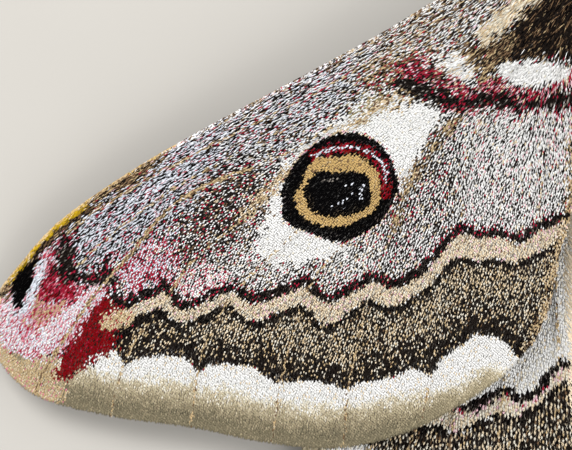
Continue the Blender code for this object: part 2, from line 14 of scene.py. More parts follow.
import bpy
import numpy as np
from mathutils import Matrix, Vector


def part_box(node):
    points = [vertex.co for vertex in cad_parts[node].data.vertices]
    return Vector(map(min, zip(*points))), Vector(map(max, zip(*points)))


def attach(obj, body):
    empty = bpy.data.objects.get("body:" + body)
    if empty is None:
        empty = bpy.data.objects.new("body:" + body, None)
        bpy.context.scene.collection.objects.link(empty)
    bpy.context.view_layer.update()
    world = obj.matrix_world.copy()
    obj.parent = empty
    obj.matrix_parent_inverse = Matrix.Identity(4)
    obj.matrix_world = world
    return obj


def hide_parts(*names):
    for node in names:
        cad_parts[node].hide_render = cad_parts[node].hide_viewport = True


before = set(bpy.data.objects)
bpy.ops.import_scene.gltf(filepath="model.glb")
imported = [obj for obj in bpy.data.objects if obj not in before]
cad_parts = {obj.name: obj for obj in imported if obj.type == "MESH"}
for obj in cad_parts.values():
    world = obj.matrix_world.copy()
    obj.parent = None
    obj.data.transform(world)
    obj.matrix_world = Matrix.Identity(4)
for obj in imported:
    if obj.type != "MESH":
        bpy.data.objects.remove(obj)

logging.basicConfig(level=logging.INFO, format="%(message)s")
log = logging.getLogger("emperor_moth")

Material = bpy.types.Material
Array = np.ndarray

MM = 0.001
SHADE = "shade"
BAKE_UV = "OFBake"
BAKE_PATCH = 0.003
BAKE_BORDER = 0.01
SMOOTH_ANGLE = math.radians(50)
SIDES = {"left": -1, "right": 1}

# The resting roof that the wings share, as in the solids
ROOT_OUT = 3.4
ROOT_FRONT = 1.9
ROOF_HEIGHT = 5.6
ROOF_FALL_OUT = 0.066
ROOF_FALL_BACK = 0.05
COSTA_DROOP = 1.0
COSTA_DROOP_WIDTH = 2.2
MARGIN_DROOP = 0.5
MARGIN_DROOP_WIDTH = 4.0
HINDWING_DROP = 1.35
HINDWING_REAR_DROP = 0.65
HINDWING_DROP_FROM = 8.0
HINDWING_DROP_TO = 20.0

# Where the thorax's middle lies along Y in the frame
MIDDLE_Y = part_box("forewing_left")[1].y / MM - ROOT_FRONT


def linear(red: float, green: float, blue: float) -> tuple[float, float, float]:
    """Turns a colour as the eye reads it, 0 to 255, into linear light.

    Args:
        red, green, blue: the display values.

    Returns:
        The same colour in linear light, 0 to 1.
    """
    shares = (red / 255, green / 255, blue / 255)
    return tuple(c / 12.92 if c <= 0.04045 else ((c + 0.055) / 1.055) ** 2.4 for c in shares)


class Tint(Enum):
    """The colours that single scales and hairs come in."""

    WHITE = (252, 251, 249)
    COOL = (236, 240, 250)
    IVORY = (240, 233, 216)
    CREAM = (236, 216, 184)
    SAND = (214, 201, 172)
    TAN = (206, 180, 138)
    BEIGE = (188, 175, 145)
    KHAKI = (164, 152, 124)
    DUST = (138, 129, 105)
    BROWN = (122, 96, 72)
    DARK = (32, 26, 23)
    BLACK = (5, 4, 5)
    CRIMSON = (176, 34, 62)
    RED = (134, 10, 18)
    PINK = (226, 140, 158)
    ROSE = (240, 196, 206)
    OCHRE = (210, 176, 116)
    MUSTARD = (196, 160, 34)
    OLIVE = (156, 146, 104)
    GREY = (150, 142, 134)


TINTS = list(Tint)
TINT_TABLE = np.array([linear(*t.value) for t in TINTS])


def mix(**shares: float) -> Array:
    """The shares of each tint in a mixture of scales, given by name in lower case.

    Args:
        shares: tint names with their parts, which need not add up to 1.

    Returns:
        One share for each tint, adding up to 1.
    """
    parts = np.array([shares.get(t.name.lower(), 0.0) for t in TINTS])
    return parts / parts.sum()


class Sock:
    """A shader socket, or a number, that can be written into sums."""

    def __init__(self, tree: "ShaderTree", value: object) -> None:
        """Wraps an output socket or a number of a tree."""
        self.tree = tree
        self.value = value

    def _join(self, operation: str, first: object, second: object) -> "Sock":
        """One Math node on two values."""
        return self.tree.node("ShaderNodeMath", {"operation": operation}, {0: first, 1: second})

    def __add__(self, other: object) -> "Sock":
        """Sum."""
        return self._join("ADD", self, other)

    __radd__ = __add__

    def __sub__(self, other: object) -> "Sock":
        """Difference."""
        return self._join("SUBTRACT", self, other)

    def __rsub__(self, other: object) -> "Sock":
        """Difference from a number."""
        return self._join("SUBTRACT", other, self)

    def __mul__(self, other: object) -> "Sock":
        """Product."""
        return self._join("MULTIPLY", self, other)

    __rmul__ = __mul__


class ShaderTree:
    """One material and the nodes that make it."""

    def __init__(self, name: str) -> None:
        """Makes an empty material.

        Args:
            name: the material's name.
        """
        self.material = bpy.data.materials.new(name)
        self.material.use_nodes = True
        self.nodes = self.material.node_tree.nodes
        self.links = self.material.node_tree.links
        self.nodes.clear()

    def node(self, kind: str, settings: dict | None = None, sockets: dict | None = None,
             output: int | str = 0) -> Sock:
        """Makes any node.

        Args:
            kind: the node's type.
            settings: properties to set first; "stops" holds a ramp's (place, colour) pairs.
            sockets: values or links of its inputs, by name or number.
            output: the output to return.

        Returns:
            The chosen output, wrapped.
        """
        made = self.nodes.new(kind)
        for key, value in (settings or {}).items():
            if key == "stops":
                ramp = made.color_ramp.elements
                while len(ramp) < len(value):
                    ramp.new(1.0)
                for stop, (place, colour) in zip(ramp, value):
                    stop.position = place
                    stop.color = (*colour, 1.0)
            else:
                setattr(made, key, value)
        for key, value in (sockets or {}).items():
            if isinstance(value, Sock) and isinstance(value.value, bpy.types.NodeSocket):
                self.links.new(value.value, made.inputs[key])
            else:
                made.inputs[key].default_value = value.value if isinstance(value, Sock) else value
        return Sock(self, made.outputs[output])

    def place(self) -> Sock:
        """The piece's own coordinates."""
        return self.node("ShaderNodeTexCoord", output="Object")

    def carried(self) -> Sock:
        """The colour that the mesh carries."""
        return self.node("ShaderNodeAttribute", {"attribute_name": SHADE}, output="Color")

    def noise(self, scale: float, detail: float = 2.0) -> Sock:
        """Noise over the piece's own place.

        Args:
            scale: how many waves in a metre.
            detail: how many finer layers.

        Returns:
            The noise's value.
        """
        return self.node("ShaderNodeTexNoise", None,
                         {"Vector": self.place(), "Scale": scale, "Detail": detail})

    def cells(self, scale: float, random: float = 1.0) -> Sock:
        """The distance to the nearest of many points spread over the piece's own place.

        Args:
            scale: how many points in a metre.
            random: how far they stray from even rows, 0 to 1.

        Returns:
            The distance's value.
        """
        return self.node("ShaderNodeTexVoronoi", {"feature": "F1"},
                         {"Vector": self.place(), "Scale": scale, "Randomness": random})

    def ramp(self, value: Sock, *stops: tuple) -> Sock:
        """A colour that runs between stops.

        Args:
            value: the place along the ramp.
            stops: pairs of a place and a colour as the eye reads it.

        Returns:
            The colour.
        """
        linear_stops = [(place, linear(*colour)) for place, colour in stops]
        return self.node("ShaderNodeValToRGB", {"stops": linear_stops}, {0: value})

    def bump(self, height: Sock, depth: float, strength: float = 1.0) -> Sock:
        """A Bump node on a height.

        Args:
            height: the relief.
            depth: how far a height of 1 stands out, in metres.
            strength: how much of it shows.

        Returns:
            The bent normal.
        """
        return self.node("ShaderNodeBump", None,
                         {"Height": height, "Distance": depth, "Strength": strength})

    def tinted(self, colour: Sock, other: tuple, share: Sock) -> Sock:
        """A colour moved towards another by a share.

        Args:
            colour: the colour's socket.
            other: the linear colour to move towards.
            share: how far, 0 to 1.

        Returns:
            The mixed colour.
        """
        return self.node("ShaderNodeMix", {"data_type": "RGBA"},
                         {0: share, 6: colour, 7: (*other, 1.0)}, output=2)

    def finish(self, **inputs: object) -> Material:
        """Ends the tree in a Principled shader.

        Args:
            inputs: its sockets by name, with underscores for spaces.

        Returns:
            The finished material.
        """
        named = {key.replace("_", " "): value for key, value in inputs.items()}
        shader = self.node("ShaderNodeBsdfPrincipled", None, named)
        end = self.nodes.new("ShaderNodeOutputMaterial")
        self.links.new(shader.value, end.inputs["Surface"])
        return self.material


@dataclass(frozen=True)
class ScaleFinish:
    """Dusty wing scales, each in the colour that its mesh carries."""

    name: str = "wing_scales"
    roughness: float = 0.6
    uneven: float = 0.3
    specular: float = 0.02
    dust: tuple = (0.006, 0.005, 0.005)
    dusting: float = 0.1
    grain: float = 9000.0
    ribs: float = 30000.0
    rib_depth: float = 0.000012

    def build(self) -> Material:
        """Makes the material.

        Returns:
            The material.
        """
        tree = ShaderTree(self.name)
        grain = tree.noise(self.grain)
        return tree.finish(Base_Color=tree.tinted(tree.carried(), self.dust, grain * self.dusting),
                           Roughness=grain * self.uneven + self.roughness,
                           Normal=tree.bump(tree.noise(self.ribs), self.rib_depth),
                           Specular_IOR_Level=self.specular)


@dataclass(frozen=True)
class FurFinish:
    """Hair of body and legs, each tuft in the colour that its mesh carries."""

    name: str = "fur"
    roughness: float = 0.52
    uneven: float = 0.2
    sheen: float = 0.08
    specular: float = 0.3
    shadow: tuple = (0.03, 0.02, 0.014)
    shading: float = 0.25
    strands: float = 5000.0
    strand_depth: float = 0.00002

    def build(self) -> Material:
        """Makes the material.

        Returns:
            The material.
        """
        tree = ShaderTree(self.name)
        strand = tree.noise(self.strands, 3.0)
        return tree.finish(Base_Color=tree.tinted(tree.carried(), self.shadow, strand * self.shading),
                           Roughness=strand * self.uneven + self.roughness,
                           Normal=tree.bump(strand, self.strand_depth), Sheen_Weight=self.sheen,
                           Specular_IOR_Level=self.specular)


@dataclass(frozen=True)
class SkinFinish:
    """Horny skin and wing membrane under the coat, with the coat's markings."""

    name: str = "membrane"
    roughness: float = 0.45
    uneven: float = 0.25
    pit_tint: tuple = (0.05, 0.035, 0.025)
    pit_share: float = 0.35
    pits: float = 9000.0
    pit_depth: float = 0.00003

    def build(self) -> Material:
        """Makes the material.

        Returns:
            The material.
        """
        tree = ShaderTree(self.name)
        pits = tree.cells(self.pits)
        return tree.finish(Base_Color=tree.tinted(tree.carried(), self.pit_tint, pits * self.pit_share),
                           Roughness=pits * self.uneven + self.roughness,
                           Normal=tree.bump(pits, self.pit_depth))


@dataclass(frozen=True)
class EyeFinish:
    """Glossy brown-black faceted eye."""

    name: str = "compound_eye"
    dark: tuple = (14, 9, 8)
    light: tuple = (58, 34, 24)
    facets: float = 14000.0
    facet_random: float = 0.25
    facet_depth: float = 0.00003
    clouds: float = 900.0
    gloss: float = 0.4

    def build(self) -> Material:
        """Makes the material.

        Returns:
            The material.
        """
        tree = ShaderTree(self.name)
        lens = tree.cells(self.facets, self.facet_random)
        colour = tree.ramp(tree.noise(self.clouds), (0.35, self.dark), (0.7, self.light))
        return tree.finish(Base_Color=colour, Roughness=lens * 0.2 + 0.12,
                           Normal=tree.bump(1.0 - lens, self.facet_depth), Coat_Weight=self.gloss)


@dataclass(frozen=True)
class HornFinish:
    """Bare horn of feelers, feet and claws: brown, satin, ringed by fine noise."""

    name: str = "horn"
    dark: tuple = (92, 62, 38)
    light: tuple = (176, 140, 92)
    clouds: float = 2600.0
    grain: float = 16000.0
    grain_depth: float = 0.00002

    def build(self) -> Material:
        """Makes the material.

        Returns:
            The material.
        """
        tree = ShaderTree(self.name)
        cloud = tree.noise(self.clouds, 4.0)
        return tree.finish(Base_Color=tree.ramp(cloud, (0.3, self.dark), (0.7, self.light)),
                           Roughness=cloud * 0.25 + 0.35,
                           Normal=tree.bump(tree.noise(self.grain), self.grain_depth))


@dataclass(frozen=True)
class FloorFinish:
    """Plain pale studio floor."""

    name: str = "pale_floor"
    dark: tuple = (149, 146, 141)
    light: tuple = (152, 149, 144)
    clouds: float = 60.0
    roughness: float = 0.85

    def build(self) -> Material:
        """Makes the material.

        Returns:
            The material.
        """
        tree = ShaderTree(self.name)
        colour = tree.ramp(tree.noise(self.clouds), (0.3, self.dark), (0.7, self.light))
        return tree.finish(Base_Color=colour, Roughness=self.roughness)


# Lines of the forewing from its root to its margin, front edge first: (points, where its ridge starts)
FOREWING_LINES = (
    (((ROOT_OUT, 1.9), (7.5, -0.6), (11.65, -3.0), (14.65, -4.8), (19.2, -7.25), (23.5, -9.55),
      (27.1, -11.65), (30.75, -14.25), (33.35, -17.2)), 0.0),
    (((ROOT_OUT, 1.5), (7.3, -1.1), (11.3, -3.9), (14.3, -5.8), (18.9, -8.3), (23.2, -10.45),
      (26.8, -12.4), (29.65, -14.3), (31.7, -16.4), (33.85, -18.9)), 0.0),
    (((ROOT_OUT, 1.15), (7.0, -1.7), (11.0, -4.9), (14.8, -7.2), (19.4, -9.6), (24.5, -12.3),
      (28.2, -15.0), (31.2, -18.0), (33.75, -20.9)), 0.5),
    (((ROOT_OUT, 0.8), (6.8, -2.3), (10.3, -5.4), (13.2, -6.9), (16.8, -9.3), (19.6, -10.9),
      (22.5, -12.0), (24.9, -13.35), (26.8, -15.55), (28.55, -17.55), (29.85, -19.4),
      (31.1, -21.3), (31.8, -22.9)), 0.45),
    (((ROOT_OUT, 0.4), (6.6, -2.8), (10.0, -5.9), (13.4, -7.6), (17.0, -10.1), (19.25, -11.8),
      (20.1, -12.7), (21.55, -14.15), (23.0, -15.3), (24.15, -16.45), (24.9, -17.6),
      (26.5, -19.75), (27.4, -21.6), (27.95, -23.95)), 0.0),
    (((ROOT_OUT, 0.0), (6.3, -3.3), (9.5, -6.7), (12.8, -9.3), (15.8, -11.9), (18.2, -14.2),
      (21.15, -17.0), (22.1, -18.15), (22.8, -19.5), (23.45, -21.0), (23.95, -24.5)), 0.62),
    (((ROOT_OUT, -0.4), (6.0, -3.7), (9.0, -7.1), (11.8, -9.8), (13.9, -12.2), (16.2, -15.1),
      (17.85, -17.1), (18.7, -19.4), (19.4, -22.2), (19.9, -25.3)), 0.5),
    (((ROOT_OUT, -0.8), (5.8, -4.0), (8.4, -6.9), (10.45, -8.6), (12.35, -11.2), (13.3, -12.8),
      (13.8, -14.45), (14.8, -17.2), (15.55, -20.1), (16.05, -22.4), (16.3, -25.5)), 0.0),
    (((ROOT_OUT, -1.2), (5.5, -4.3), (7.8, -7.0), (9.4, -9.0), (10.2, -11.2), (10.45, -14.2),
      (11.0, -15.75), (11.5, -18.5), (11.9, -21.5), (12.5, -24.5)), 0.3),
    (((ROOT_OUT, -1.7), (5.0, -4.6), (6.1, -8.0), (6.5, -12.5), (6.8, -16.5), (7.6, -20.0),
      (8.5, -22.1)), 0.0),
    (((ROOT_OUT, -2.2), (4.5, -4.6), (4.75, -8.0), (4.8, -12.0), (5.1, -14.3), (5.5, -15.6),
      (6.05, -18.3), (6.9, -20.4)), 0.0),
)
# The same for the hindwing
HINDWING_LINES = (
    (((ROOT_OUT, -2.9), (7.0, -7.5), (11.6, -13.5), (15.5, -19.3), (17.8, -23.6), (18.4, -25.9)), 0.0),
    (((ROOT_OUT, -3.1), (6.8, -8.2), (10.9, -14.4), (14.4, -20.1), (16.6, -24.9), (17.6, -27.9)), 0.0),
    (((ROOT_OUT, -3.3), (6.5, -8.8), (10.0, -15.0), (13.2, -20.7), (15.0, -25.6), (16.0, -29.5)), 0.45),
    (((ROOT_OUT, -3.55), (6.2, -9.2), (9.2, -15.4), (11.8, -21.3), (13.2, -26.5), (14.0, -30.8)), 0.45),
    (((ROOT_OUT, -3.8), (5.9, -9.6), (8.3, -15.8), (10.2, -21.8), (11.2, -27.0), (11.6, -31.5)), 0.3),
    (((ROOT_OUT, -4.05), (5.6, -10.0), (7.2, -16.2), (8.2, -22.2), (8.6, -27.0), (8.6, -31.7)), 0.0),
    (((ROOT_OUT, -4.3), (5.1, -10.2), (5.6, -16.2), (5.5, -21.1), (5.5, -27.0), (5.5, -30.9)), 0.0),
    (((ROOT_OUT, -4.6), (4.55, -10.0), (4.7, -16.0), (4.5, -21.5), (4.1, -26.0), (3.9, -29.2)), 0.0),
)

# Markings of the forewing, as (out, along) points
# The rusty scales in front of the dark line's outer end
RUST_FIELD = (
    (15.15, -7.1), (14.45, -6.3), (13.55, -5.7), (12.65, -5.6), (12.25, -6.1), (12.85, -6.6), (13.75, -7.0),
    (14.55, -7.5))
# The eyespot's outer edge, then its ochre ring's two edges, from the wing tip's side
EYE_RIM = (
    (19.3, -12.5), (19.25, -13.25), (19.15, -13.95), (17.85, -14.55), (16.45, -15.05), (16.0, -14.95),
    (15.1, -14.5), (14.45, -14.0), (13.95, -13.35), (13.5, -12.4), (13.65, -11.45), (14.15, -10.35),
    (14.9, -9.8), (15.65, -9.55), (16.3, -9.6), (17.1, -9.8), (17.8, -10.35), (18.45, -10.95),
    (19.05, -11.85))
EYE_RING = (
    (18.65, -12.85), (18.45, -13.45), (17.8, -14.0), (17.25, -14.25), (16.6, -14.25), (16.1, -14.2),
    (15.4, -13.9), (14.75, -13.45), (14.4, -12.85), (14.35, -12.1), (14.6, -11.4), (15.1, -10.95),
    (15.7, -10.65), (16.35, -10.75), (17.5, -10.85), (17.8, -11.15), (18.05, -11.6), (18.45, -12.35))
EYE_PUPIL = (
    (18.25, -12.45), (18.0, -12.0), (17.55, -11.6), (16.9, -11.45), (16.3, -11.45), (15.65, -11.5),
    (15.15, -11.65), (14.85, -12.2), (14.8, -12.85), (14.9, -13.2), (15.5, -13.55), (16.25, -13.75),
    (17.1, -13.75), (17.7, -13.5), (18.05, -13.05))
# The crimson arc between rim and ring, and the pale beads on it
EYE_CRIMSON = (
    (17.65, -10.7), (16.95, -10.45), (16.1, -10.35), (15.4, -10.35), (14.85, -10.6), (14.35, -11.15),
    (14.15, -11.8), (14.15, -12.55))
EYE_BEADS = (
    (17.75, -10.8), (17.25, -10.55), (16.6, -10.35), (15.8, -10.3), (15.1, -10.45), (14.4, -10.9),
    (14.1, -11.4), (14.1, -12.0))
# Painted highlights on the pupil: the pale crescent and the scattered glints, laid on as pale scales
EYE_GLINT = ((17.2, -12.0), (16.9, -11.9), (16.4, -11.85))
EYE_GLINT_SPECKS = ((15.9, -12.05), (15.6, -12.25), (15.15, -12.45), (15.75, -12.8), (16.15, -12.95), (16.6, -13.3))
# The white patch that holds the eyespot
WHITE_PATCH = (
    (14.45, -7.45), (13.25, -7.45), (12.6, -7.6), (11.95, -7.9), (11.0, -8.3), (11.3, -8.85),
    (11.75, -9.55), (12.1, -10.15), (12.4, -10.75), (12.7, -11.4), (13.0, -12.0), (13.45, -12.7),
    (14.25, -13.6), (15.35, -14.45), (16.15, -15.35), (17.05, -15.9), (18.45, -16.1), (19.95, -16.1),
    (20.55, -15.5), (20.35, -14.6), (20.05, -13.75), (19.95, -12.75), (19.6, -11.9), (18.95, -11.0),
    (18.25, -10.3), (17.15, -9.5), (16.3, -8.8), (15.35, -8.15))
OLIVE_CLOUD = ((15.95, -8.4), (14.85, -7.8), (13.85, -7.8), (14.25, -8.3), (15.15, -8.8), (15.85, -9.1))
# The speckled pale area behind the white patch
SPECKLED_WHITE = (
    (20.55, -15.0), (18.45, -15.9), (16.15, -15.35), (14.85, -14.8), (14.25, -16.1), (15.15, -16.8),
    (16.95, -17.6), (17.9, -16.8), (20.35, -17.5), (21.45, -17.0), (22.15, -16.1))
# The browner cloud outside the cell
DARK_CLOUD = (
    (21.85, -11.0), (20.35, -11.6), (20.35, -13.0), (22.15, -15.0), (23.65, -16.1), (24.55, -16.1),
    (25.45, -16.1), (24.55, -14.8), (23.45, -13.0))
# The speckled field between the cell's stem and the rear edge
DORSAL_SPECKLE = (
    (10.35, -8.4), (8.45, -8.4), (3.45, -8.2), (3.45, -13.0), (4.85, -13.6), (6.4, -14.3), (7.5, -15.0),
    (9.1, -14.8), (10.15, -14.4), (10.65, -14.6), (10.95, -13.5), (10.85, -12.0), (10.75, -10.5))
EYE_SPECKLE = (
    (10.95, -8.3), (10.25, -8.4), (10.65, -10.5), (10.75, -12.0), (10.85, -13.5), (10.55, -14.5),
    (11.15, -15.3), (12.45, -16.4), (13.65, -17.1), (14.65, -16.6), (15.25, -16.1), (14.25, -14.2),
    (13.35, -12.9), (12.45, -11.6), (11.75, -10.1))
# Pink fields inside the first wavy line
PINK_OUTER = (
    (27.55, -16.4), (26.45, -15.3), (25.15, -15.2), (24.55, -15.9), (24.95, -16.8), (25.95, -17.5),
    (27.05, -17.9), (27.45, -17.5))
PINK_INNER = (
    (24.25, -16.8), (22.95, -16.2), (21.85, -16.4), (21.65, -17.2), (22.85, -18.0), (23.95, -18.1))
# The dark field at the wing's root and the marks that edge it
BASAL_DARK = (
    (7.25, -3.6), (7.8, -4.1), (8.1, -4.4), (8.45, -4.8), (9.35, -5.1), (9.55, -5.6), (8.95, -6.1),
    (8.35, -6.2), (7.1, -5.9), (5.9, -5.7), (4.45, -5.9), (1.45, -5.0), (1.45, 0.5), (3.45, 2.0),
    (5.45, 0.0))
ROOT_TUFT = (
    (3.45, -0.1), (5.45, -1.2), (6.55, -2.4), (7.35, -3.1), (7.85, -3.6), (8.45, -4.2), (9.05, -4.75))
WHITE_MARK_REAR = (
    (8.4, -6.25), (8.25, -6.05), (7.4, -6.0), (6.5, -5.9), (5.6, -6.05), (4.95, -6.3), (4.85, -6.65),
    (5.6, -6.95), (6.3, -7.15), (6.8, -7.3), (7.4, -7.15), (7.95, -6.9), (8.3, -6.65))
WHITE_MARK_FRONT = (
    (11.65, -6.0), (11.4, -6.3), (11.05, -6.6), (10.55, -6.8), (10.05, -6.95), (9.5, -6.95), (9.6, -6.65),
    (9.9, -6.25), (10.15, -5.85), (10.55, -5.65), (11.05, -5.85))
RED_BLOB = (
    (13.25, -6.4), (12.75, -6.1), (12.05, -6.05), (11.55, -6.3), (11.15, -6.8), (10.55, -7.2),
    (10.05, -7.5), (10.45, -7.7), (11.25, -7.4), (11.95, -7.1), (12.65, -6.9))
RED_LINE = (
    (10.65, -7.15), (10.15, -7.35), (9.65, -7.4), (9.05, -7.25), (8.55, -7.25), (7.85, -7.3), (7.1, -7.5),
    (6.35, -7.5), (5.75, -7.3), (5.15, -6.95), (4.25, -6.8))
DARK_LINE = (
    (14.15, -6.9), (13.35, -7.0), (12.6, -7.15), (12.0, -7.4), (11.4, -7.75), (10.65, -8.0), (9.8, -7.9),
    (9.05, -7.7), (8.35, -7.85), (7.1, -7.9), (5.9, -7.85), (4.85, -7.65), (3.45, -7.5))
PINK_FLECKS = (
    (11.15, -8.3), (10.35, -8.5), (9.05, -8.3), (8.35, -8.5), (7.1, -8.5), (5.9, -8.45), (4.85, -8.3),
    (3.45, -8.1))
# The first wavy line, the second line behind its pale band, and the scallops' edge
FIRST_LINE = (
    (27.95, -17.6), (27.6, -18.25), (27.25, -18.5), (26.55, -18.15), (25.1, -17.5), (24.75, -17.95),
    (24.45, -18.4), (24.15, -18.5), (23.45, -18.25), (22.3, -17.65), (21.6, -17.55), (21.15, -18.0),
    (20.75, -18.2), (20.0, -17.95), (18.1, -17.25), (17.7, -17.65), (17.3, -18.0), (16.9, -18.15),
    (16.2, -17.75), (14.75, -17.0), (13.85, -17.35), (13.05, -17.15), (12.3, -16.6), (11.55, -15.75),
    (10.75, -14.8), (10.35, -14.55), (9.6, -14.85), (8.45, -14.75), (7.65, -15.15), (7.25, -15.05),
    (6.5, -14.45), (5.7, -14.2), (4.85, -13.8), (2.95, -13.3))
SECOND_LINE = (
    (27.85, -19.75), (27.5, -19.5), (26.55, -18.75), (25.4, -18.4), (25.05, -18.8), (24.45, -19.2),
    (23.45, -18.9), (21.95, -18.15), (21.55, -18.6), (21.15, -18.9), (20.55, -19.05), (19.6, -18.65),
    (18.4, -18.15), (18.05, -18.45), (17.7, -18.95), (17.3, -19.2), (16.9, -19.25), (16.2, -18.8),
    (15.0, -17.9), (14.65, -18.05), (14.05, -18.3), (13.45, -18.25), (12.7, -17.75), (11.9, -17.2),
    (11.15, -16.3), (10.7, -15.9), (10.3, -15.8), (9.55, -16.05), (8.8, -15.85), (7.65, -16.1),
    (6.85, -15.75), (6.1, -15.3), (4.85, -14.8), (2.95, -14.3))
SCALLOP_EDGE = (
    (27.85, -20.0), (27.7, -20.35), (27.15, -21.1), (26.55, -20.85), (25.3, -20.65), (24.1, -20.75),
    (23.5, -21.5), (22.95, -21.1), (21.7, -21.1), (20.55, -21.3), (19.6, -22.05), (19.15, -22.05),
    (18.25, -21.85), (17.35, -21.95), (16.75, -22.15), (16.15, -22.4), (15.5, -22.1), (14.05, -21.75),
    (13.35, -21.5), (12.75, -21.3), (11.95, -21.65), (11.65, -21.3), (11.4, -20.85), (10.5, -20.2),
    (9.65, -19.55), (8.65, -19.75), (8.05, -20.0), (7.75, -20.5), (7.55, -20.95), (7.25, -21.3))
# The wing tip's marks
APEX_BLACK = (
    (31.55, -15.85), (31.9, -16.0), (32.35, -16.4), (32.7, -16.95), (32.85, -17.4), (32.65, -17.65),
    (32.65, -18.1), (32.3, -18.3), (32.1, -17.85), (31.95, -17.35), (31.7, -16.85), (31.6, -16.35))
APEX_BEADS = (
    (31.15, -15.9), (31.3, -16.5), (31.55, -17.1), (31.75, -17.7), (32.05, -18.25), (32.4, -18.65))
APEX_BROWN = (
    (30.25, -14.6), (29.55, -14.6), (29.6, -15.5), (29.55, -16.2), (28.45, -16.4), (27.65, -16.5),
    (27.65, -17.25), (28.7, -17.2), (29.65, -17.05), (30.4, -16.8), (30.6, -16.1), (30.45, -15.25))
APEX_BAR = ((28.0, -16.1), (27.8, -16.8), (27.6, -17.6), (27.35, -18.25))
APEX_CRIMSON = (
    (30.85, -15.4), (30.55, -16.0), (30.15, -16.8), (29.45, -17.25), (28.55, -17.4), (28.95, -18.0),
    (29.95, -18.1), (30.95, -18.0), (31.65, -18.4), (31.45, -17.6), (31.15, -16.7))
APEX_ROSE = ((31.65, -17.9), (30.65, -18.0), (29.65, -18.2), (30.25, -18.8), (31.15, -19.2), (31.8, -19.1))
APEX_HOOK = (
    (28.55, -17.5), (29.4, -18.25), (30.2, -19.0), (30.9, -19.65), (31.55, -20.0), (32.1, -20.2),
    (32.75, -19.8), (33.1, -19.0), (32.95, -18.2))
APEX_RED = (
    (27.95, -17.3), (28.55, -18.1), (29.1, -18.9), (29.55, -19.6), (29.95, -20.25), (30.45, -21.05),
    (30.6, -21.65), (30.2, -21.9), (29.4, -21.3), (28.55, -20.9), (27.85, -20.45), (27.55, -19.9),
    (27.6, -19.3), (28.15, -19.1), (27.55, -18.4), (27.75, -17.8))
APEX_TAN = (
    (28.25, -18.65), (27.45, -18.4), (26.85, -18.4), (26.65, -18.85), (27.45, -19.35), (28.15, -19.25))
APEX_EDGE = (
    (34.45, -17.3), (33.35, -17.6), (33.35, -19.0), (33.05, -20.1), (32.25, -20.7), (31.25, -20.8),
    (30.45, -20.6), (30.45, -21.6), (30.25, -22.8), (31.45, -23.8), (34.95, -23.0))
APEX_STRIP = (
    (29.15, -13.2), (29.95, -13.7), (30.75, -14.3), (31.35, -14.9), (31.9, -15.55), (32.35, -16.1),
    (32.8, -16.8))
APEX_STRIP_SHADE = (
    (28.85, -13.35), (29.65, -13.85), (30.45, -14.5), (31.05, -15.1), (31.55, -15.7), (32.0, -16.05),
    (32.45, -16.3))
APEX_FIELD = (
    (33.25, -17.5), (32.65, -16.5), (31.45, -15.5), (30.45, -14.8), (29.55, -15.0), (29.45, -16.4),
    (27.65, -17.3), (28.55, -18.6), (29.75, -20.1), (30.55, -20.6), (31.45, -20.8), (32.35, -20.8),
    (33.15, -20.2), (33.45, -18.9))
# The hindwing's lines and eyespot
HIND_FIRST_LINE = (
    (16.95, -18.0), (15.65, -19.5), (14.45, -20.6), (13.25, -21.6), (11.95, -22.6), (10.95, -23.0),
    (9.95, -23.3), (9.15, -22.8), (8.3, -22.3), (7.85, -22.55), (7.4, -22.85), (6.95, -22.7), (6.55, -22.5),
    (5.95, -21.5), (5.4, -20.95), (4.7, -21.1), (3.95, -20.6))
HIND_SECOND_LINE = (
    (18.95, -19.5), (17.45, -21.0), (15.95, -22.3), (14.25, -23.4), (12.85, -24.2), (11.3, -24.4),
    (10.4, -24.5), (9.6, -24.1), (8.65, -23.65), (8.05, -23.8), (7.5, -23.85), (6.4, -23.2), (5.45, -22.1),
    (4.7, -22.0), (3.95, -21.6))
HIND_SCALLOP_EDGE = (
    (18.45, -23.0), (16.95, -24.0), (16.2, -25.0), (14.95, -25.1), (13.85, -26.1), (12.45, -26.0),
    (11.45, -27.1), (10.05, -26.8), (9.15, -27.8), (7.85, -27.2), (6.95, -27.8), (5.85, -26.6),
    (4.95, -26.5), (3.95, -25.0))
HIND_EYE = (9.6, -15.6)
HIND_EYE_RADIUS = 2.3


def smooth_line(points: tuple, count: int, closed: bool = False) -> Array:
    """Points at even lengths along a smooth curve through the given ones.

    Args:
        points: (out, along) or (x, y, z) points.
        count: how many points to return.
        closed: joins the last point to the first.

    Returns:
        The points in an array.
    """
    line = np.array(points, float)
    if closed:
        line = np.vstack([line[-1], line, line[0], line[1]])
    else:
        line = np.vstack([2 * line[0] - line[1], line, 2 * line[-1] - line[-2]])
    share = np.linspace(0, 1, 12, endpoint=False)[:, None]
    fine = []
    for a, b, c, d in zip(line, line[1:], line[2:], line[3:]):
        fine.append(0.5 * (2 * b + (c - a) * share + (2 * a - 5 * b + 4 * c - d) * share ** 2
                           + (3 * b - a - 3 * c + d) * share ** 3))
    fine = np.vstack([*fine, line[-2][None]])
    lengths = np.concatenate([[0], np.cumsum(np.linalg.norm(np.diff(fine, axis=0), axis=1))])
    wanted = np.linspace(0, lengths[-1], count)
    return np.stack([np.interp(wanted, lengths, fine[:, k]) for k in range(line.shape[1])], axis=1)


def distance_to(points: Array, line: Array) -> tuple[Array, Array]:
    """The least distance in plan from each point to a line, and the line's direction there.

    Args:
        points: plan points.
        line: the line's corner points.

    Returns:
        Distances, and unit directions of the nearest stretch.
    """
    least = np.full(len(points), np.inf)
    way = np.zeros((len(points), 2))
    for a, b in zip(line[:-1, :2], line[1:, :2]):
        run = b - a
        share = np.clip((points - a) @ run / max(run @ run, 1e-12), 0, 1)
        gap = np.linalg.norm(points - a - share[:, None] * run, axis=1)
        nearer = gap < least
        least[nearer] = gap[nearer]
        way[nearer] = run / max(np.linalg.norm(run), 1e-9)
    return least, way


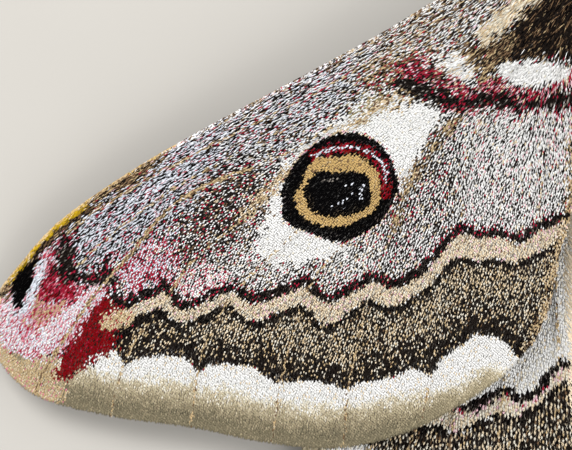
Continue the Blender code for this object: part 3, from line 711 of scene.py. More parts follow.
def within(points: Array, outline: Array) -> Array:
    """Which plan points lie inside a closed outline.

    Args:
        points: plan points.
        outline: corner points, the last one joined to the first.

    Returns:
        True for each point inside.
    """
    inside = np.zeros(len(points), bool)
    for a, b in zip(outline, np.roll(outline, -1, axis=0)):
        crosses = (a[1] > points[:, 1]) != (b[1] > points[:, 1])
        rise = b[1] - a[1] if abs(b[1] - a[1]) > 1e-12 else 1e-12
        at = a[0] + (points[:, 1] - a[1]) * (b[0] - a[0]) / rise
        inside ^= crosses & (points[:, 0] < at)
    return inside


def smooth_step(value: Array, low: float, high: float) -> Array:
    """0 below low, 1 above high, and a smooth rise between."""
    t = np.clip((value - low) / (high - low), 0, 1)
    return t * t * (3 - 2 * t)


def blotches(points: Array, size: float, seed: int) -> Array:
    """Smooth random values over the plan.

    Args:
        points: plan points.
        size: the blotches' width.
        seed: which blotches.

    Returns:
        One value for each point, 0 to 1.
    """
    cells = 64
    values = np.random.default_rng(seed).random((cells, cells))
    place = points / size
    corner = np.floor(place).astype(int)
    share = place - corner
    share = share * share * (3 - 2 * share)
    x, y = corner[:, 0] % cells, corner[:, 1] % cells
    near, far = (x + 1) % cells, (y + 1) % cells
    low = values[x, y] * (1 - share[:, 0]) + values[near, y] * share[:, 0]
    high = values[x, far] * (1 - share[:, 0]) + values[near, far] * share[:, 0]
    return low * (1 - share[:, 1]) + high * share[:, 1]


# How wide the bays of a marking's ragged edge are
RAGGED = 0.35


@dataclass(frozen=True)
class Zone:
    """One marking: a closed field, or a band along a line when it has a half width."""

    shape: tuple
    tints: Array
    soft: float = 0.25
    half: float = 0.0
    share: float = 1.0
    smooth: bool = True
    seed: int = 3

    def cover(self, points: Array) -> Array:
        """How surely each plan point has this marking.

        Args:
            points: plan points.

        Returns:
            Chances, 0 to 1.
        """
        count = max(6 * len(self.shape), 24)
        line = smooth_line(self.shape, count, self.half == 0) if self.smooth \
            else np.array(self.shape, float)
        cover = np.zeros(len(points))
        reach = self.half + self.soft + 0.1
        near = np.all((points > line.min(0) - reach) & (points < line.max(0) + reach), axis=1)
        if not near.any():
            return cover
        spots = points[near]
        if self.half:
            gap = distance_to(spots, line)[0] - self.half
        else:
            gap = distance_to(spots, np.vstack([line, line[:1]]))[0]
            gap = np.where(within(spots, line), -gap, gap)
        gap = gap + (blotches(spots, RAGGED, self.seed) - 0.5) * self.soft
        cover[near] = self.share * np.clip(0.5 - gap / self.soft, 0, 1)
        return cover


@dataclass(frozen=True)
class Pattern:
    """All the markings of one wing, laid over one another in order."""

    ground: Array
    zones: tuple
    clumping: tuple = (0.84, 0.16)
    clump_size: float = 0.4
    weaving: tuple = (0.35, 0.65)
    flicker: float = 0.16

    def paint(self, points: Array, seed: int, weave: Array | None = None) -> Array:
        """Gives each scale one colour.

        Args:
            points: the scales' roots in plan.
            seed: which random draw.
            weave: a value for each scale, 0 to 1, that spreads the colours evenly along the rows.

        Returns:
            One linear colour for each scale.
        """
        draw = np.random.default_rng(seed)
        mixture = np.zeros(len(points), int)
        mixtures = [self.ground]
        for zone in self.zones:
            mixtures.append(zone.tints)
            mixture[draw.random(len(points)) < zone.cover(points)] = len(mixtures) - 1
        cumulative = np.cumsum(np.array(mixtures), axis=1)
        loose, clumped = self.clumping
        value = loose * draw.random(len(points)) + clumped * blotches(points, self.clump_size, seed + 1)
        if weave is not None:
            value = self.weaving[0] * value + self.weaving[1] * weave
        rank = np.empty(len(points))
        rank[np.argsort(value)] = (np.arange(len(points)) + 0.5) / len(points)
        chosen = (rank[:, None] > cumulative[mixture]).sum(axis=1).clip(0, len(TINTS) - 1)
        bright = 1 + self.flicker * (draw.random(len(points)) - 0.5)
        return TINT_TABLE[chosen] * bright[:, None]

    def mean(self, points: Array) -> Array:
        """The skin's colour: the mean of the scales that would lie on each point.

        Args:
            points: plan points.

        Returns:
            One linear colour for each point.
        """
        colour = np.tile(self.ground @ TINT_TABLE, (len(points), 1))
        for zone in self.zones:
            cover = zone.cover(points)[:, None]
            colour = colour * (1 - cover) + (zone.tints @ TINT_TABLE) * cover
        return colour


# How far out the margin's pale tones begin
MARGIN_TONE_END = 9.2
MARGIN_TONE_AWAY = 1.15
MARGIN_TONE_WAY = (0.55, 0.83)
# Mixtures of scales that several markings share
SPECKLE = mix(white=0.36, dark=0.42, black=0.08, crimson=0.05, brown=0.05, cream=0.04)
SNOW = mix(white=0.97, ivory=0.03)
SOOT = mix(black=0.98, dark=0.02)
TAN_BAND = mix(cream=0.5, ivory=0.24, rose=0.06, grey=0.13, brown=0.07)
BARK_BROWN = mix(dark=0.62, black=0.05, tan=0.04, cream=0.15, ivory=0.11, brown=0.03)
OCHRE_ONLY = mix(ochre=0.88, tan=0.04, brown=0.08)
BLOOD = mix(red=0.84, crimson=0.06, dark=0.1)


def field_between(first: tuple, second: tuple) -> tuple:
    """The closed field between two lines that run the same way."""
    return (*first, *reversed(second))


def forewing_pattern(plan: "WingPlan") -> Pattern:
    """The forewing's markings, from the ground colour up.

    Args:
        plan: the wing's veins and edges.

    Returns:
        The pattern.
    """
    costa = tuple(map(tuple, plan.lines[0]))
    margin = tuple(tuple(p) for p in plan.margin if p[0] > MARGIN_TONE_END)
    outer = tuple(p for p in margin if p[1] < -20.0 and p[0] < 32.6)
    dorsum = tuple(map(tuple, plan.lines[-1][10:]))
    vein_b = tuple(map(tuple, plan.lines[3][14:]))
    first, second = shifted(FIRST_LINE, 0.08), shifted(SECOND_LINE, 0.08)
    away = MARGIN_TONE_AWAY * smooth_step(-np.array([p[0] for p in margin]), -15.5, -9.0)
    tones = tuple((p[0] - MARGIN_TONE_WAY[0] * a, p[1] - MARGIN_TONE_WAY[1] * a)
                  for p, a in zip(margin, away))
    zones = [
        Zone(costa, mix(white=0.36, cool=0.06, dark=0.34, black=0.08, cream=0.05, crimson=0.03, brown=0.07,
             rose=0.01), 2.4, 2.6),
        Zone(costa[5:13], mix(white=0.32, dark=0.34, brown=0.17, tan=0.08, rose=0.03, crimson=0.02,
             cream=0.04), 1.4, 2.6),
        Zone(costa[12:], mix(white=0.18, cool=0.25, dark=0.32, black=0.1, brown=0.07, crimson=0.05,
             rose=0.03), 2.2, 3.2),
        Zone(costa[18:], mix(cool=0.47, dark=0.32, black=0.1, crimson=0.07, rose=0.04), 1.6, 3.4),
        Zone(costa[6:20], mix(brown=0.3, dark=0.34, white=0.26, tan=0.1), 0.4, 0.3, 0.7),
        Zone(DARK_CLOUD, mix(dark=0.6, white=0.2, crimson=0.08, brown=0.08, cream=0.04), 1.4),
        Zone(PINK_OUTER, mix(crimson=0.36, cool=0.42, pink=0.12, dark=0.1), 1.2),
        Zone(PINK_INNER, mix(pink=0.15, white=0.54, crimson=0.12, dark=0.15, cream=0.04), 1.0),
        Zone(DORSAL_SPECKLE, mix(white=0.58, dark=0.31, cream=0.04, crimson=0.03, rose=0.04), 0.8),
        Zone(EYE_SPECKLE, mix(white=0.4, dark=0.44, black=0.04, cream=0.05, crimson=0.04, rose=0.03), 0.8),
        Zone(SPECKLED_WHITE, mix(white=0.52, dark=0.34, cream=0.06, crimson=0.05, brown=0.03), 1.0),
        Zone(WHITE_PATCH, SNOW, 0.5),
        Zone(OLIVE_CLOUD, mix(olive=0.45, white=0.4, brown=0.15), 0.8, share=0.75),
        Zone(plan.stem_upper, mix(cream=0.5, tan=0.32, brown=0.18), 0.5, 0.22, 0.85),
        Zone(plan.stem_lower, mix(brown=0.35, tan=0.3, dark=0.25, cream=0.1), 0.5, 0.2, 0.8),
        *vein_marks(plan, 12.0, 0.04, 0.45),
        Zone(EYE_RIM, mix(cream=0.5, rose=0.3, crimson=0.2), 0.14, 0.07, 0.75),
        Zone(EYE_RIM, SOOT, 0.1),
        Zone(EYE_CRIMSON, mix(red=0.6, crimson=0.2, black=0.2), 0.2, 0.27, 0.8),
        Zone(EYE_BEADS, mix(cool=1.0), 0.05, 0.085, 0.62),
        Zone(EYE_RING, OCHRE_ONLY, 0.13),
        Zone(EYE_PUPIL, SOOT, 0.16),
        # Painted highlights on the pupil, as pale scales
        Zone(EYE_GLINT_SPECKS, mix(cool=1.0), 0.3, 0.12, 0.22),
        Zone(EYE_GLINT, mix(grey=1.0), 0.12, 0.05, 0.5),
        Zone(BASAL_DARK, mix(dark=0.72, black=0.1, brown=0.14, tan=0.04), 0.6),
        Zone(plan.stem_base, mix(brown=0.35, dark=0.35, tan=0.3), 0.8, 0.5, 0.8),
        Zone(plan.stem_front, mix(tan=0.35, brown=0.4, dark=0.25), 0.9, 0.4, 0.6),
        Zone(WHITE_MARK_REAR, SNOW, 0.25),
        Zone(WHITE_MARK_FRONT, mix(white=0.82, cream=0.11, tan=0.07), 0.5),
        Zone(DARK_LINE, mix(dark=0.68, black=0.2, grey=0.07, crimson=0.05), 0.5, 0.5),
        Zone(RUST_FIELD, mix(tan=0.24, brown=0.2, dark=0.3, crimson=0.1, white=0.16), 0.9),
        Zone(RED_BLOB, mix(crimson=0.42, rose=0.12, brown=0.08, dark=0.38), 0.7),
        Zone(RED_LINE, mix(crimson=0.42, pink=0.12, rose=0.14, cream=0.1, dark=0.22), 0.5, 0.22, 0.85),
        Zone(PINK_FLECKS, mix(crimson=0.5, rose=0.3, white=0.2), 0.4, 0.2, 0.3),
        Zone(ROOT_TUFT, mix(cream=0.45, ivory=0.4, tan=0.15), 0.5, 0.38),
        Zone(field_between(first, second), TAN_BAND, 0.16, smooth=False),
        Zone(field_between(second, SCALLOP_EDGE), BARK_BROWN, 0.1, smooth=False),
        Zone(shifted(first, 0.32), mix(crimson=0.22, dark=0.78), 0.3, 0.2, 0.62, False),
        Zone(shifted(first, 0.2), mix(dark=0.42, black=0.52, crimson=0.06), 0.2, 0.18, 0.92, False),
        Zone(shifted(second, -1.2), mix(cream=0.3, ivory=0.12, tan=0.12, dark=0.46), 1.0, 0.45, 0.6, False),
        Zone(shifted(SCALLOP_EDGE, 0.75), mix(dark=0.84, black=0.12, tan=0.04), 1.0, 0.4, 0.7, False),
        Zone(shifted(second, -0.15), mix(dark=0.5, black=0.5), 0.22, 0.15, 0.85, False),
        Zone(shifted(SCALLOP_EDGE, 0.25), mix(dark=0.75, black=0.2, tan=0.05), 0.3, 0.22, 0.8, False),
        Zone(field_between(SCALLOP_EDGE, outer), mix(white=0.93, cream=0.07), 0.14, smooth=False),
        Zone(tones, mix(ivory=0.9, white=0.1), 0.5, 2.45),
        Zone(tones, mix(sand=0.85, ivory=0.15), 0.5, 2.15),
        Zone(tones, mix(beige=0.85, sand=0.15), 0.45, 1.85),
        # The khaki and dust rims darken the margin's own beige towards its edge: painted shade of the rim
        # that curls down
        Zone(tones, mix(khaki=0.85, beige=0.15), 0.45, 1.5),
        Zone(tones, mix(dust=0.8, khaki=0.2), 0.6, 1.05),
        *vein_marks(plan, 24.0, 0.045, 0.6),
        Zone(dorsum, mix(tan=0.46, brown=0.28, cream=0.14, dark=0.12), 0.5, 0.3, 0.8),
        Zone(shifted(SECOND_LINE[:4], -0.2), mix(dark=0.4, black=0.6), 0.3, 0.2, 0.85, False),
        Zone(APEX_BAR, mix(dark=0.6, black=0.3, crimson=0.1), 0.35, 0.22, 0.9),
        Zone(APEX_EDGE, mix(tan=0.6, sand=0.2, cream=0.12, pink=0.08), 0.5),
        Zone(APEX_FIELD, mix(rose=0.26, pink=0.24, cool=0.3, crimson=0.2), 0.4),
        Zone(APEX_CRIMSON, mix(crimson=0.5, red=0.22, pink=0.12, dark=0.16), 0.5),
        Zone(APEX_ROSE, mix(pink=0.34, tan=0.4, rose=0.06, crimson=0.2), 0.5),
        Zone(APEX_RED, BLOOD, 0.45),
        Zone(APEX_TAN, mix(tan=0.5, cream=0.35, crimson=0.15), 0.25),
        Zone(APEX_HOOK, mix(cool=0.3, white=0.26, rose=0.2, pink=0.16, crimson=0.08), 0.3, 0.42),
        Zone(APEX_BROWN, mix(dark=0.72, black=0.1, grey=0.1, crimson=0.08), 0.5),
        Zone(vein_b, mix(tan=0.66, brown=0.34), 0.08, 0.08, 0.9),
        Zone(costa[18:], mix(brown=0.4, dark=0.4, tan=0.2), 0.3, 0.62, 0.85),
        Zone(APEX_STRIP_SHADE, mix(dark=0.65, brown=0.35), 0.15, 0.16, 0.9),
        Zone(APEX_STRIP, mix(mustard=0.84, brown=0.1, cream=0.06), 0.12, 0.22),
        Zone(costa[17:], mix(tan=0.66, brown=0.18, mustard=0.16), 0.1, 0.14),
        Zone(APEX_BEADS, mix(cool=0.86, dark=0.14), 0.2, 0.2, 0.9),
        Zone(APEX_BLACK, SOOT, 0.12),
    ]
    return Pattern(SPECKLE, tuple(zones))


def vein_marks(plan: "WingPlan", nearest: float, half: float, share: float) -> list:
    """Thin tan lines along the veins, beyond a distance from the root.

    Args:
        plan: the wing's veins.
        nearest: that distance.
        half: half the lines' width.
        share: how many scales in them are tan.

    Returns:
        The zones.
    """
    tints = mix(tan=0.62, brown=0.22, cream=0.16)
    far = [vein[np.linalg.norm(vein, axis=1) > nearest] for vein in plan.ridges()]
    return [Zone(tuple(map(tuple, vein)), tints, 0.07, half, share) for vein in far if len(vein) > 2]


def shifted(line: tuple, along: float) -> tuple:
    """A line moved towards the head."""
    return tuple((p[0], p[1] + along) for p in line)


def hindwing_pattern(plan: "WingPlan") -> Pattern:
    """The hindwing's markings: pale, with an eyespot that the forewing hides in this pose.

    Args:
        plan: the wing's veins and edges.

    Returns:
        The pattern.
    """
    margin = tuple(map(tuple, plan.margin))
    ring = tuple((HIND_EYE[0] + math.cos(a) * HIND_EYE_RADIUS, HIND_EYE[1] + math.sin(a)
                  * HIND_EYE_RADIUS * 0.9) for a in np.linspace(0, 2 * math.pi, 12, endpoint=False))
    shrunk = {share: tuple((HIND_EYE[0] + (x - HIND_EYE[0]) * share,
                            HIND_EYE[1] + (y - HIND_EYE[1]) * share) for x, y in ring)
              for share in (0.86, 0.72, 0.5)}
    zones = [
        Zone(((3.0, -3.0), (6.5, -5.0), (7.5, -8.5), (5.5, -12.0), (3.0, -10.0)),
             mix(brown=0.3, grey=0.2, cream=0.5), 1.5),
        Zone(ring, SOOT, 0.12),
        Zone(shrunk[0.86], mix(red=0.7, dark=0.3), 0.12),
        Zone(shrunk[0.72], OCHRE_ONLY, 0.12),
        Zone(shrunk[0.5], SOOT, 0.12),
        Zone(field_between(HIND_FIRST_LINE, HIND_SECOND_LINE),
             mix(ivory=0.5, cream=0.4, rose=0.1), 0.16, smooth=False),
        Zone(field_between(HIND_SECOND_LINE, HIND_SCALLOP_EDGE), BARK_BROWN, 0.2, smooth=False),
        Zone(HIND_FIRST_LINE, mix(dark=0.5, black=0.5), 0.2, 0.22, 0.95, False),
        Zone(shifted(HIND_FIRST_LINE, -0.26),
             mix(crimson=0.25, rose=0.45, dark=0.3), 0.2, 0.06, 0.6, False),
        Zone(HIND_SECOND_LINE, mix(dark=0.5, black=0.5), 0.22, 0.15, 0.9, False),
        Zone(margin, mix(white=0.7, ivory=0.3), 0.5, 2.3),
        Zone(margin, mix(sand=0.8, ivory=0.2), 0.6, 1.5),
        Zone(margin, mix(beige=0.8, khaki=0.2), 0.6, 1.0),
        Zone(margin, mix(khaki=0.5, dust=0.5), 0.5, 0.6),
        *vein_marks(plan, 6.0, 0.045, 0.7),
    ]
    return Pattern(mix(white=0.8, ivory=0.17, cream=0.03), tuple(zones))


# Shares that spread a run of values most evenly over a grid
WEAVE_STEPS = (0.7548776662, 0.5698402910)
# How far beside an edge its inner and outer sides are told apart
PROBE = 0.2


class WingKind(Enum):
    """The two pairs of wings."""

    FORE = "forewing"
    HIND = "hindwing"


@dataclass
class WingPlan:
    """A wing's lines and the height of its sheet, as in the solids."""

    kind: WingKind
    stations: int = 26
    ridge_height: float = 0.19
    ridge_width: float = 0.17
    ridge_fade: float = 0.45
    ridge_reach: float = 34.0
    jitter: float = 0.36
    lines: list = field(default_factory=list)
    starts: list = field(default_factory=list)

    def __post_init__(self) -> None:
        """Smooths the lines and takes the margin from their ends."""
        source = FOREWING_LINES if self.kind is WingKind.FORE else HINDWING_LINES
        self.lines = [smooth_line(points, self.stations) for points, _ in source]
        self.starts = [start for _, start in source]
        self.margin = smooth_line([line[-1] for line in self.lines], 60)
        self.outline = np.vstack([self.lines[0], self.margin, self.lines[-1][::-1]])
        self.low = self.outline.min(0) - 0.2
        self.span = np.ptp(self.outline, axis=0).max() + 0.4
        if self.kind is WingKind.FORE:
            self.stem_upper = tuple(map(tuple, self.lines[4][8:17]))
            self.stem_lower = tuple(map(tuple, self.lines[7][8:16]))
            self.stem_base = ((8.2, -4.9), (8.9, -6.4), (9.6, -8.0))
            self.stem_front = tuple(map(tuple, self.lines[4][6:10]))

    def ridges(self) -> list:
        """The veins that stand out, each from where its ridge starts."""
        inner = zip(self.lines[1:-1], self.starts[1:-1])
        return [line[round(start * (len(line) - 1)):] for line, start in inner]

    def survey(self, points: Array) -> tuple[Array, Array]:
        """The height of the sheet's upper face and the lie of the scales.

        Args:
            points: plan points.

        Returns:
            Heights and unit directions in plan.
        """
        out, along = points[:, 0], points[:, 1]
        height = ROOF_HEIGHT - ROOF_FALL_OUT * (out - ROOT_OUT) + ROOF_FALL_BACK * np.minimum(along, 0)
        if self.kind is WingKind.FORE:
            edge = 1 - np.minimum(distance_to(points, self.lines[0])[0] / COSTA_DROOP_WIDTH, 1)
            rim = 1 - np.minimum(distance_to(points, self.margin)[0] / MARGIN_DROOP_WIDTH, 1)
            grown = smooth_step(out, ROOT_OUT, ROOT_OUT + 6.0)
            height = height - COSTA_DROOP * edge ** 2 * grown - MARGIN_DROOP * rim ** 2
        else:
            reach = np.hypot(out, along)
            height = height - HINDWING_DROP - HINDWING_REAR_DROP * smooth_step(
                reach, HINDWING_DROP_FROM, HINDWING_DROP_TO)
        lie = np.zeros((len(points), 2))
        for line in self.lines:
            gap, way = distance_to(points, line)
            lie += way / (gap ** 2 + 0.1)[:, None]
        lie /= np.linalg.norm(lie, axis=1)[:, None]
        ridge = np.zeros(len(points))
        for vein in self.ridges():
            gap = distance_to(points, vein)[0]
            ridge = np.maximum(ridge, np.exp(-(gap / self.ridge_width) ** 2))
        fade = 1 - self.ridge_fade * np.clip(np.linalg.norm(points, axis=1) / self.ridge_reach, 0, 1)
        return height + self.ridge_height * ridge * fade, lie

    def height(self, points: Array) -> Array:
        """The height of the sheet's upper face at plan points."""
        return self.survey(points)[0]

    def outward(self, edge: Array, way: Array) -> Array:
        """The directions out of the wing along an edge.

        Args:
            edge: plan points along it.
            way: how it runs at each.

        Returns:
            Unit directions in plan.
        """
        aside = unit(np.stack([-way[:, 1], way[:, 0]], axis=1))
        aside[within(edge + aside * PROBE, self.outline)] *= -1
        return aside

    def lattice(self, step: float, across: float, heading: tuple, seed: int) -> Array:
        """Staggered rows of roots inside the outline.

        Args:
            step: from row to row.
            across: from scale to scale in a row.
            heading: the way the rows follow one another.
            seed: which jitter.

        Returns:
            Plan points.
        """
        draw = np.random.default_rng(seed)
        ahead = np.array(heading) / math.hypot(*heading)
        aside = np.array((-ahead[1], ahead[0]))
        reach = self.span * 1.5
        rows, columns = int(reach / step), int(reach / across)
        row, column = np.meshgrid(np.arange(-rows, rows), np.arange(-columns, columns), indexing="ij")
        shift = (row % 2) * 0.5
        place = (row[..., None] * step * ahead + (column + shift)[..., None] * across * aside
                 + self.low + self.span / 2).reshape(-1, 2)
        place = place[np.all((place > self.low) & (place < self.low + self.span), axis=1)]
        place += (draw.random(place.shape) - 0.5) * (self.jitter * step, self.jitter * across)
        return place[within(place, self.outline)]

    def weave(self, points: Array, step: float, across: float, heading: tuple) -> Array:
        """Values, 0 to 1, that differ as much as they can between neighbours of a lattice.

        Args:
            points: roots from the lattice.
            step, across, heading: as given to the lattice.

        Returns:
            One value for each root.
        """
        ahead = np.array(heading) / math.hypot(*heading)
        aside = np.array((-ahead[1], ahead[0]))
        place = points - self.low - self.span / 2
        row = np.round(place @ ahead / step)
        column = np.round(place @ aside / across - (row % 2) * 0.5)
        return (row * WEAVE_STEPS[0] + column * WEAVE_STEPS[1]) % 1.0

    def patch(self, points: Array) -> Array:
        """Where plan points fall on the wing's unwrap."""
        return BAKE_BORDER + (1 - 2 * BAKE_BORDER) * (points - self.low) / self.span


@contextmanager
def whole_mesh() -> object:
    """Edit mode with everything selected; at the end all faces are turned outwards."""
    bpy.ops.object.mode_set(mode="EDIT")
    bpy.ops.mesh.select_all(action="SELECT")
    yield
    bpy.ops.mesh.select_all(action="SELECT")
    bpy.ops.mesh.normals_make_consistent(inside=False)
    bpy.ops.object.mode_set(mode="OBJECT")


def lay(side: int, points: Array, height: Array) -> Array:
    """Plan points and heights as places on the left or right side, in millimetres."""
    return np.stack([side * points[:, 0], points[:, 1] + MIDDLE_Y, height], axis=1)


def unit(vectors: Array) -> Array:
    """Vectors at length 1."""
    return vectors / np.maximum(np.linalg.norm(vectors, axis=1), 1e-9)[:, None]


def varied(draw: np.random.Generator, count: int | tuple, sizes: tuple) -> Array:
    """Random sizes from the first of a pair up to the sum of both."""
    return sizes[0] + sizes[1] * draw.random(count)


UP = np.array(((0.0, 0.0, 1.0),))
PLATE_FACES = np.array(((0, 3, 2), (0, 2, 1), (0, 1, 4), (1, 2, 4), (2, 3, 4), (3, 0, 4)))
PLATE_UV = np.array(((0, -1), (-1, 0.2), (0, 1), (1, 0.2), (0, 0.1)))
HAIR_FACES = np.array(((0, 1, 2), (0, 4, 1), (0, 3, 4), (1, 5, 2), (1, 4, 5), (2, 3, 0), (2, 5, 3),
                       (3, 6, 4), (4, 6, 5), (5, 6, 3)))
HAIR_UV = np.array(((-1, -1), (1, -1), (0, -0.6), (-0.6, 0), (0.6, 0), (0, 0.3), (0, 1)))


class Coat:
    """Many small closed tufts joined into one mesh, each tuft of one colour."""

    LIMIT = 190000
    LEAST_ROOM = 12
    SHOULDER = 0.66
    BELLY = 0.55
    KEEL = 0.7
    NARROWING = 0.75

    def __init__(self, name: str) -> None:
        """Starts an empty coat."""
        self.name = name
        self.parts = []

    def _add(self, corners: Array, faces: Array, local: Array, colour: Array,
             patch: Array) -> None:
        """Keeps tufts of one form: their corners, faces, patches and colours."""
        self.parts.append((corners, faces, patch[:, None] + local * BAKE_PATCH / 2, colour))

    def plates(self, root: Array, tip: Array, normal: Array, width: Array,
               colour: Array, patch: Array, depth: float = 0.03) -> None:
        """Adds flat pointed scales.

        Args:
            root, tip: both ends of each scale.
            normal: the way its upper face looks.
            width: each scale's width.
            colour: its linear colour.
            patch: its root's place on the unwrap.
            depth: how thick it is.
        """
        run = tip - root
        aside = unit(np.cross(normal, run)) * (width / 2)[:, None]
        shoulder = root + self.SHOULDER * run
        belly = root + self.BELLY * run - normal * depth
        corners = np.stack([root, shoulder + aside, tip, shoulder - aside, belly], axis=1)
        self._add(corners, PLATE_FACES, PLATE_UV, colour, patch)

    def hairs(self, root: Array, tip: Array, normal: Array, width: Array,
              colour: Array, patch: Array, arch: float = 0.12) -> None:
        """Adds bent, tapered hairs.

        Args:
            root, tip: both ends of each hair.
            normal: the way it bows out.
            width: its width at the root.
            colour: its linear colour.
            patch: its root's place on the unwrap.
            arch: how far it bows out, as a share of its length.
        """
        run = tip - root
        length = np.linalg.norm(run, axis=1)[:, None]
        aside = unit(np.cross(normal, run)) * (width / 2)[:, None]
        up = unit(normal) * (width * self.KEEL)[:, None]
        middle = root + 0.5 * run + unit(normal) * length * arch
        thin = self.NARROWING
        corners = np.stack([root + aside, root - aside, root + up, middle + thin * aside,
                            middle - thin * aside, middle + thin * up, tip], axis=1)
        self._add(corners, HAIR_FACES, HAIR_UV, colour, patch)

    def make(self, material: Material, slot: str) -> None:
        """Joins the tufts into as few pieces as the limit on triangles allows.

        Args:
            material: the finish.
            slot: the record's slot.
        """
        batches, batch, count = [], [], 0
        for corners, faces, patches, colour in self.parts:
            start = 0
            while start < len(corners):
                room = max((self.LIMIT - count) // len(faces), 1)
                stop = min(start + room, len(corners))
                batch.append((corners[start:stop], faces, patches[start:stop], colour[start:stop]))
                count += (stop - start) * len(faces)
                start = stop
                if count >= self.LIMIT - self.LEAST_ROOM:
                    batches.append(batch)
                    batch, count = [], 0
        if batch:
            batches.append(batch)
        for number, batch in enumerate(batches):
            name = self.name if len(batches) == 1 else f"{self.name}_{number + 1}"
            self._piece(name, batch, material, slot)

    def _piece(self, name: str, batch: list, material: Material, slot: str) -> None:
        """Makes one mesh object from a batch of tufts.

        Args:
            name: the piece's name.
            batch: corners, faces, patches and colours of tufts.
            material: the finish.
            slot: the record's slot.
        """
        places, corners_of, patches, colours, base = [], [], [], [], 0
        for corners, faces, patch, colour in batch:
            count, each = corners.shape[:2]
            places.append(corners.reshape(-1, 3))
            corners_of.append((faces[None] + base + np.arange(count)[:, None, None] * each)
                              .reshape(-1, 3))
            patches.append(patch.reshape(-1, 2))
            colours.append(np.repeat(colour, each, axis=0))
            base += count * each
        raised = np.vstack(places)
        raised[:, 2] = np.maximum(raised[:, 2], 0.0)
        mesh = mesh_of(name, raised, np.vstack(corners_of))
        shade(mesh, np.vstack(colours))
        unwrap = mesh.uv_layers.new(name=BAKE_UV)
        unwrap.data.foreach_set("uv", np.vstack(patches)[np.vstack(corners_of).ravel()]
                                .astype(np.float32).ravel())
        item = bpy.data.objects.new(name, mesh)
        bpy.context.scene.collection.objects.link(item)
        dress(item, material, slot)


def mesh_of(name: str, places: Array, triangles: Array) -> bpy.types.Mesh:
    """A mesh from corners in millimetres and triangles.

    Args:
        name: the mesh's name.
        places: corners.
        triangles: three corner numbers each.

    Returns:
        The mesh, in metres.
    """
    mesh = bpy.data.meshes.new(name)
    mesh.vertices.add(len(places))
    mesh.vertices.foreach_set("co", (places * MM).astype(np.float32).ravel())
    mesh.loops.add(triangles.size)
    mesh.loops.foreach_set("vertex_index", triangles.astype(np.int32).ravel())
    mesh.polygons.add(len(triangles))
    mesh.polygons.foreach_set("loop_start", np.arange(0, triangles.size, 3, dtype=np.int32))
    mesh.update(calc_edges=True)
    return mesh


def shade(mesh: bpy.types.Mesh, colours: Array) -> None:
    """Gives a mesh its own colours.

    Args:
        mesh: the mesh.
        colours: one linear colour for each vertex.
    """
    layer = mesh.color_attributes.new(SHADE, "FLOAT_COLOR", "POINT")
    full = np.ones((len(colours), 4), np.float32)
    full[:, :3] = np.clip(colours, 0, 1)
    layer.data.foreach_set("color", full.ravel())


def dress(item: object, material: Material, slot: str, *replaced: str) -> None:
    """Gives a piece its finish and its place in the frame.

    Args:
        item: the piece, its place in its mesh.
        material: the finish.
        slot: not used.
        replaced: CAD nodes that it stands for.
    """
    item.data.materials.clear()
    item.data.materials.append(material)
    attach(item, "root")
    if replaced:
        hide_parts(*replaced)
    log.info("%s: %d triangles", item.name, sum(len(p.vertices) - 2 for p in item.data.polygons))


def places_of(mesh: bpy.types.Mesh) -> Array:
    """Reads a mesh's vertices.

    Args:
        mesh: the mesh.

    Returns:
        Their places in millimetres.
    """
    places = np.empty(len(mesh.vertices) * 3, np.float32)
    mesh.vertices.foreach_get("co", places)
    return places.reshape(-1, 3).astype(float) / MM


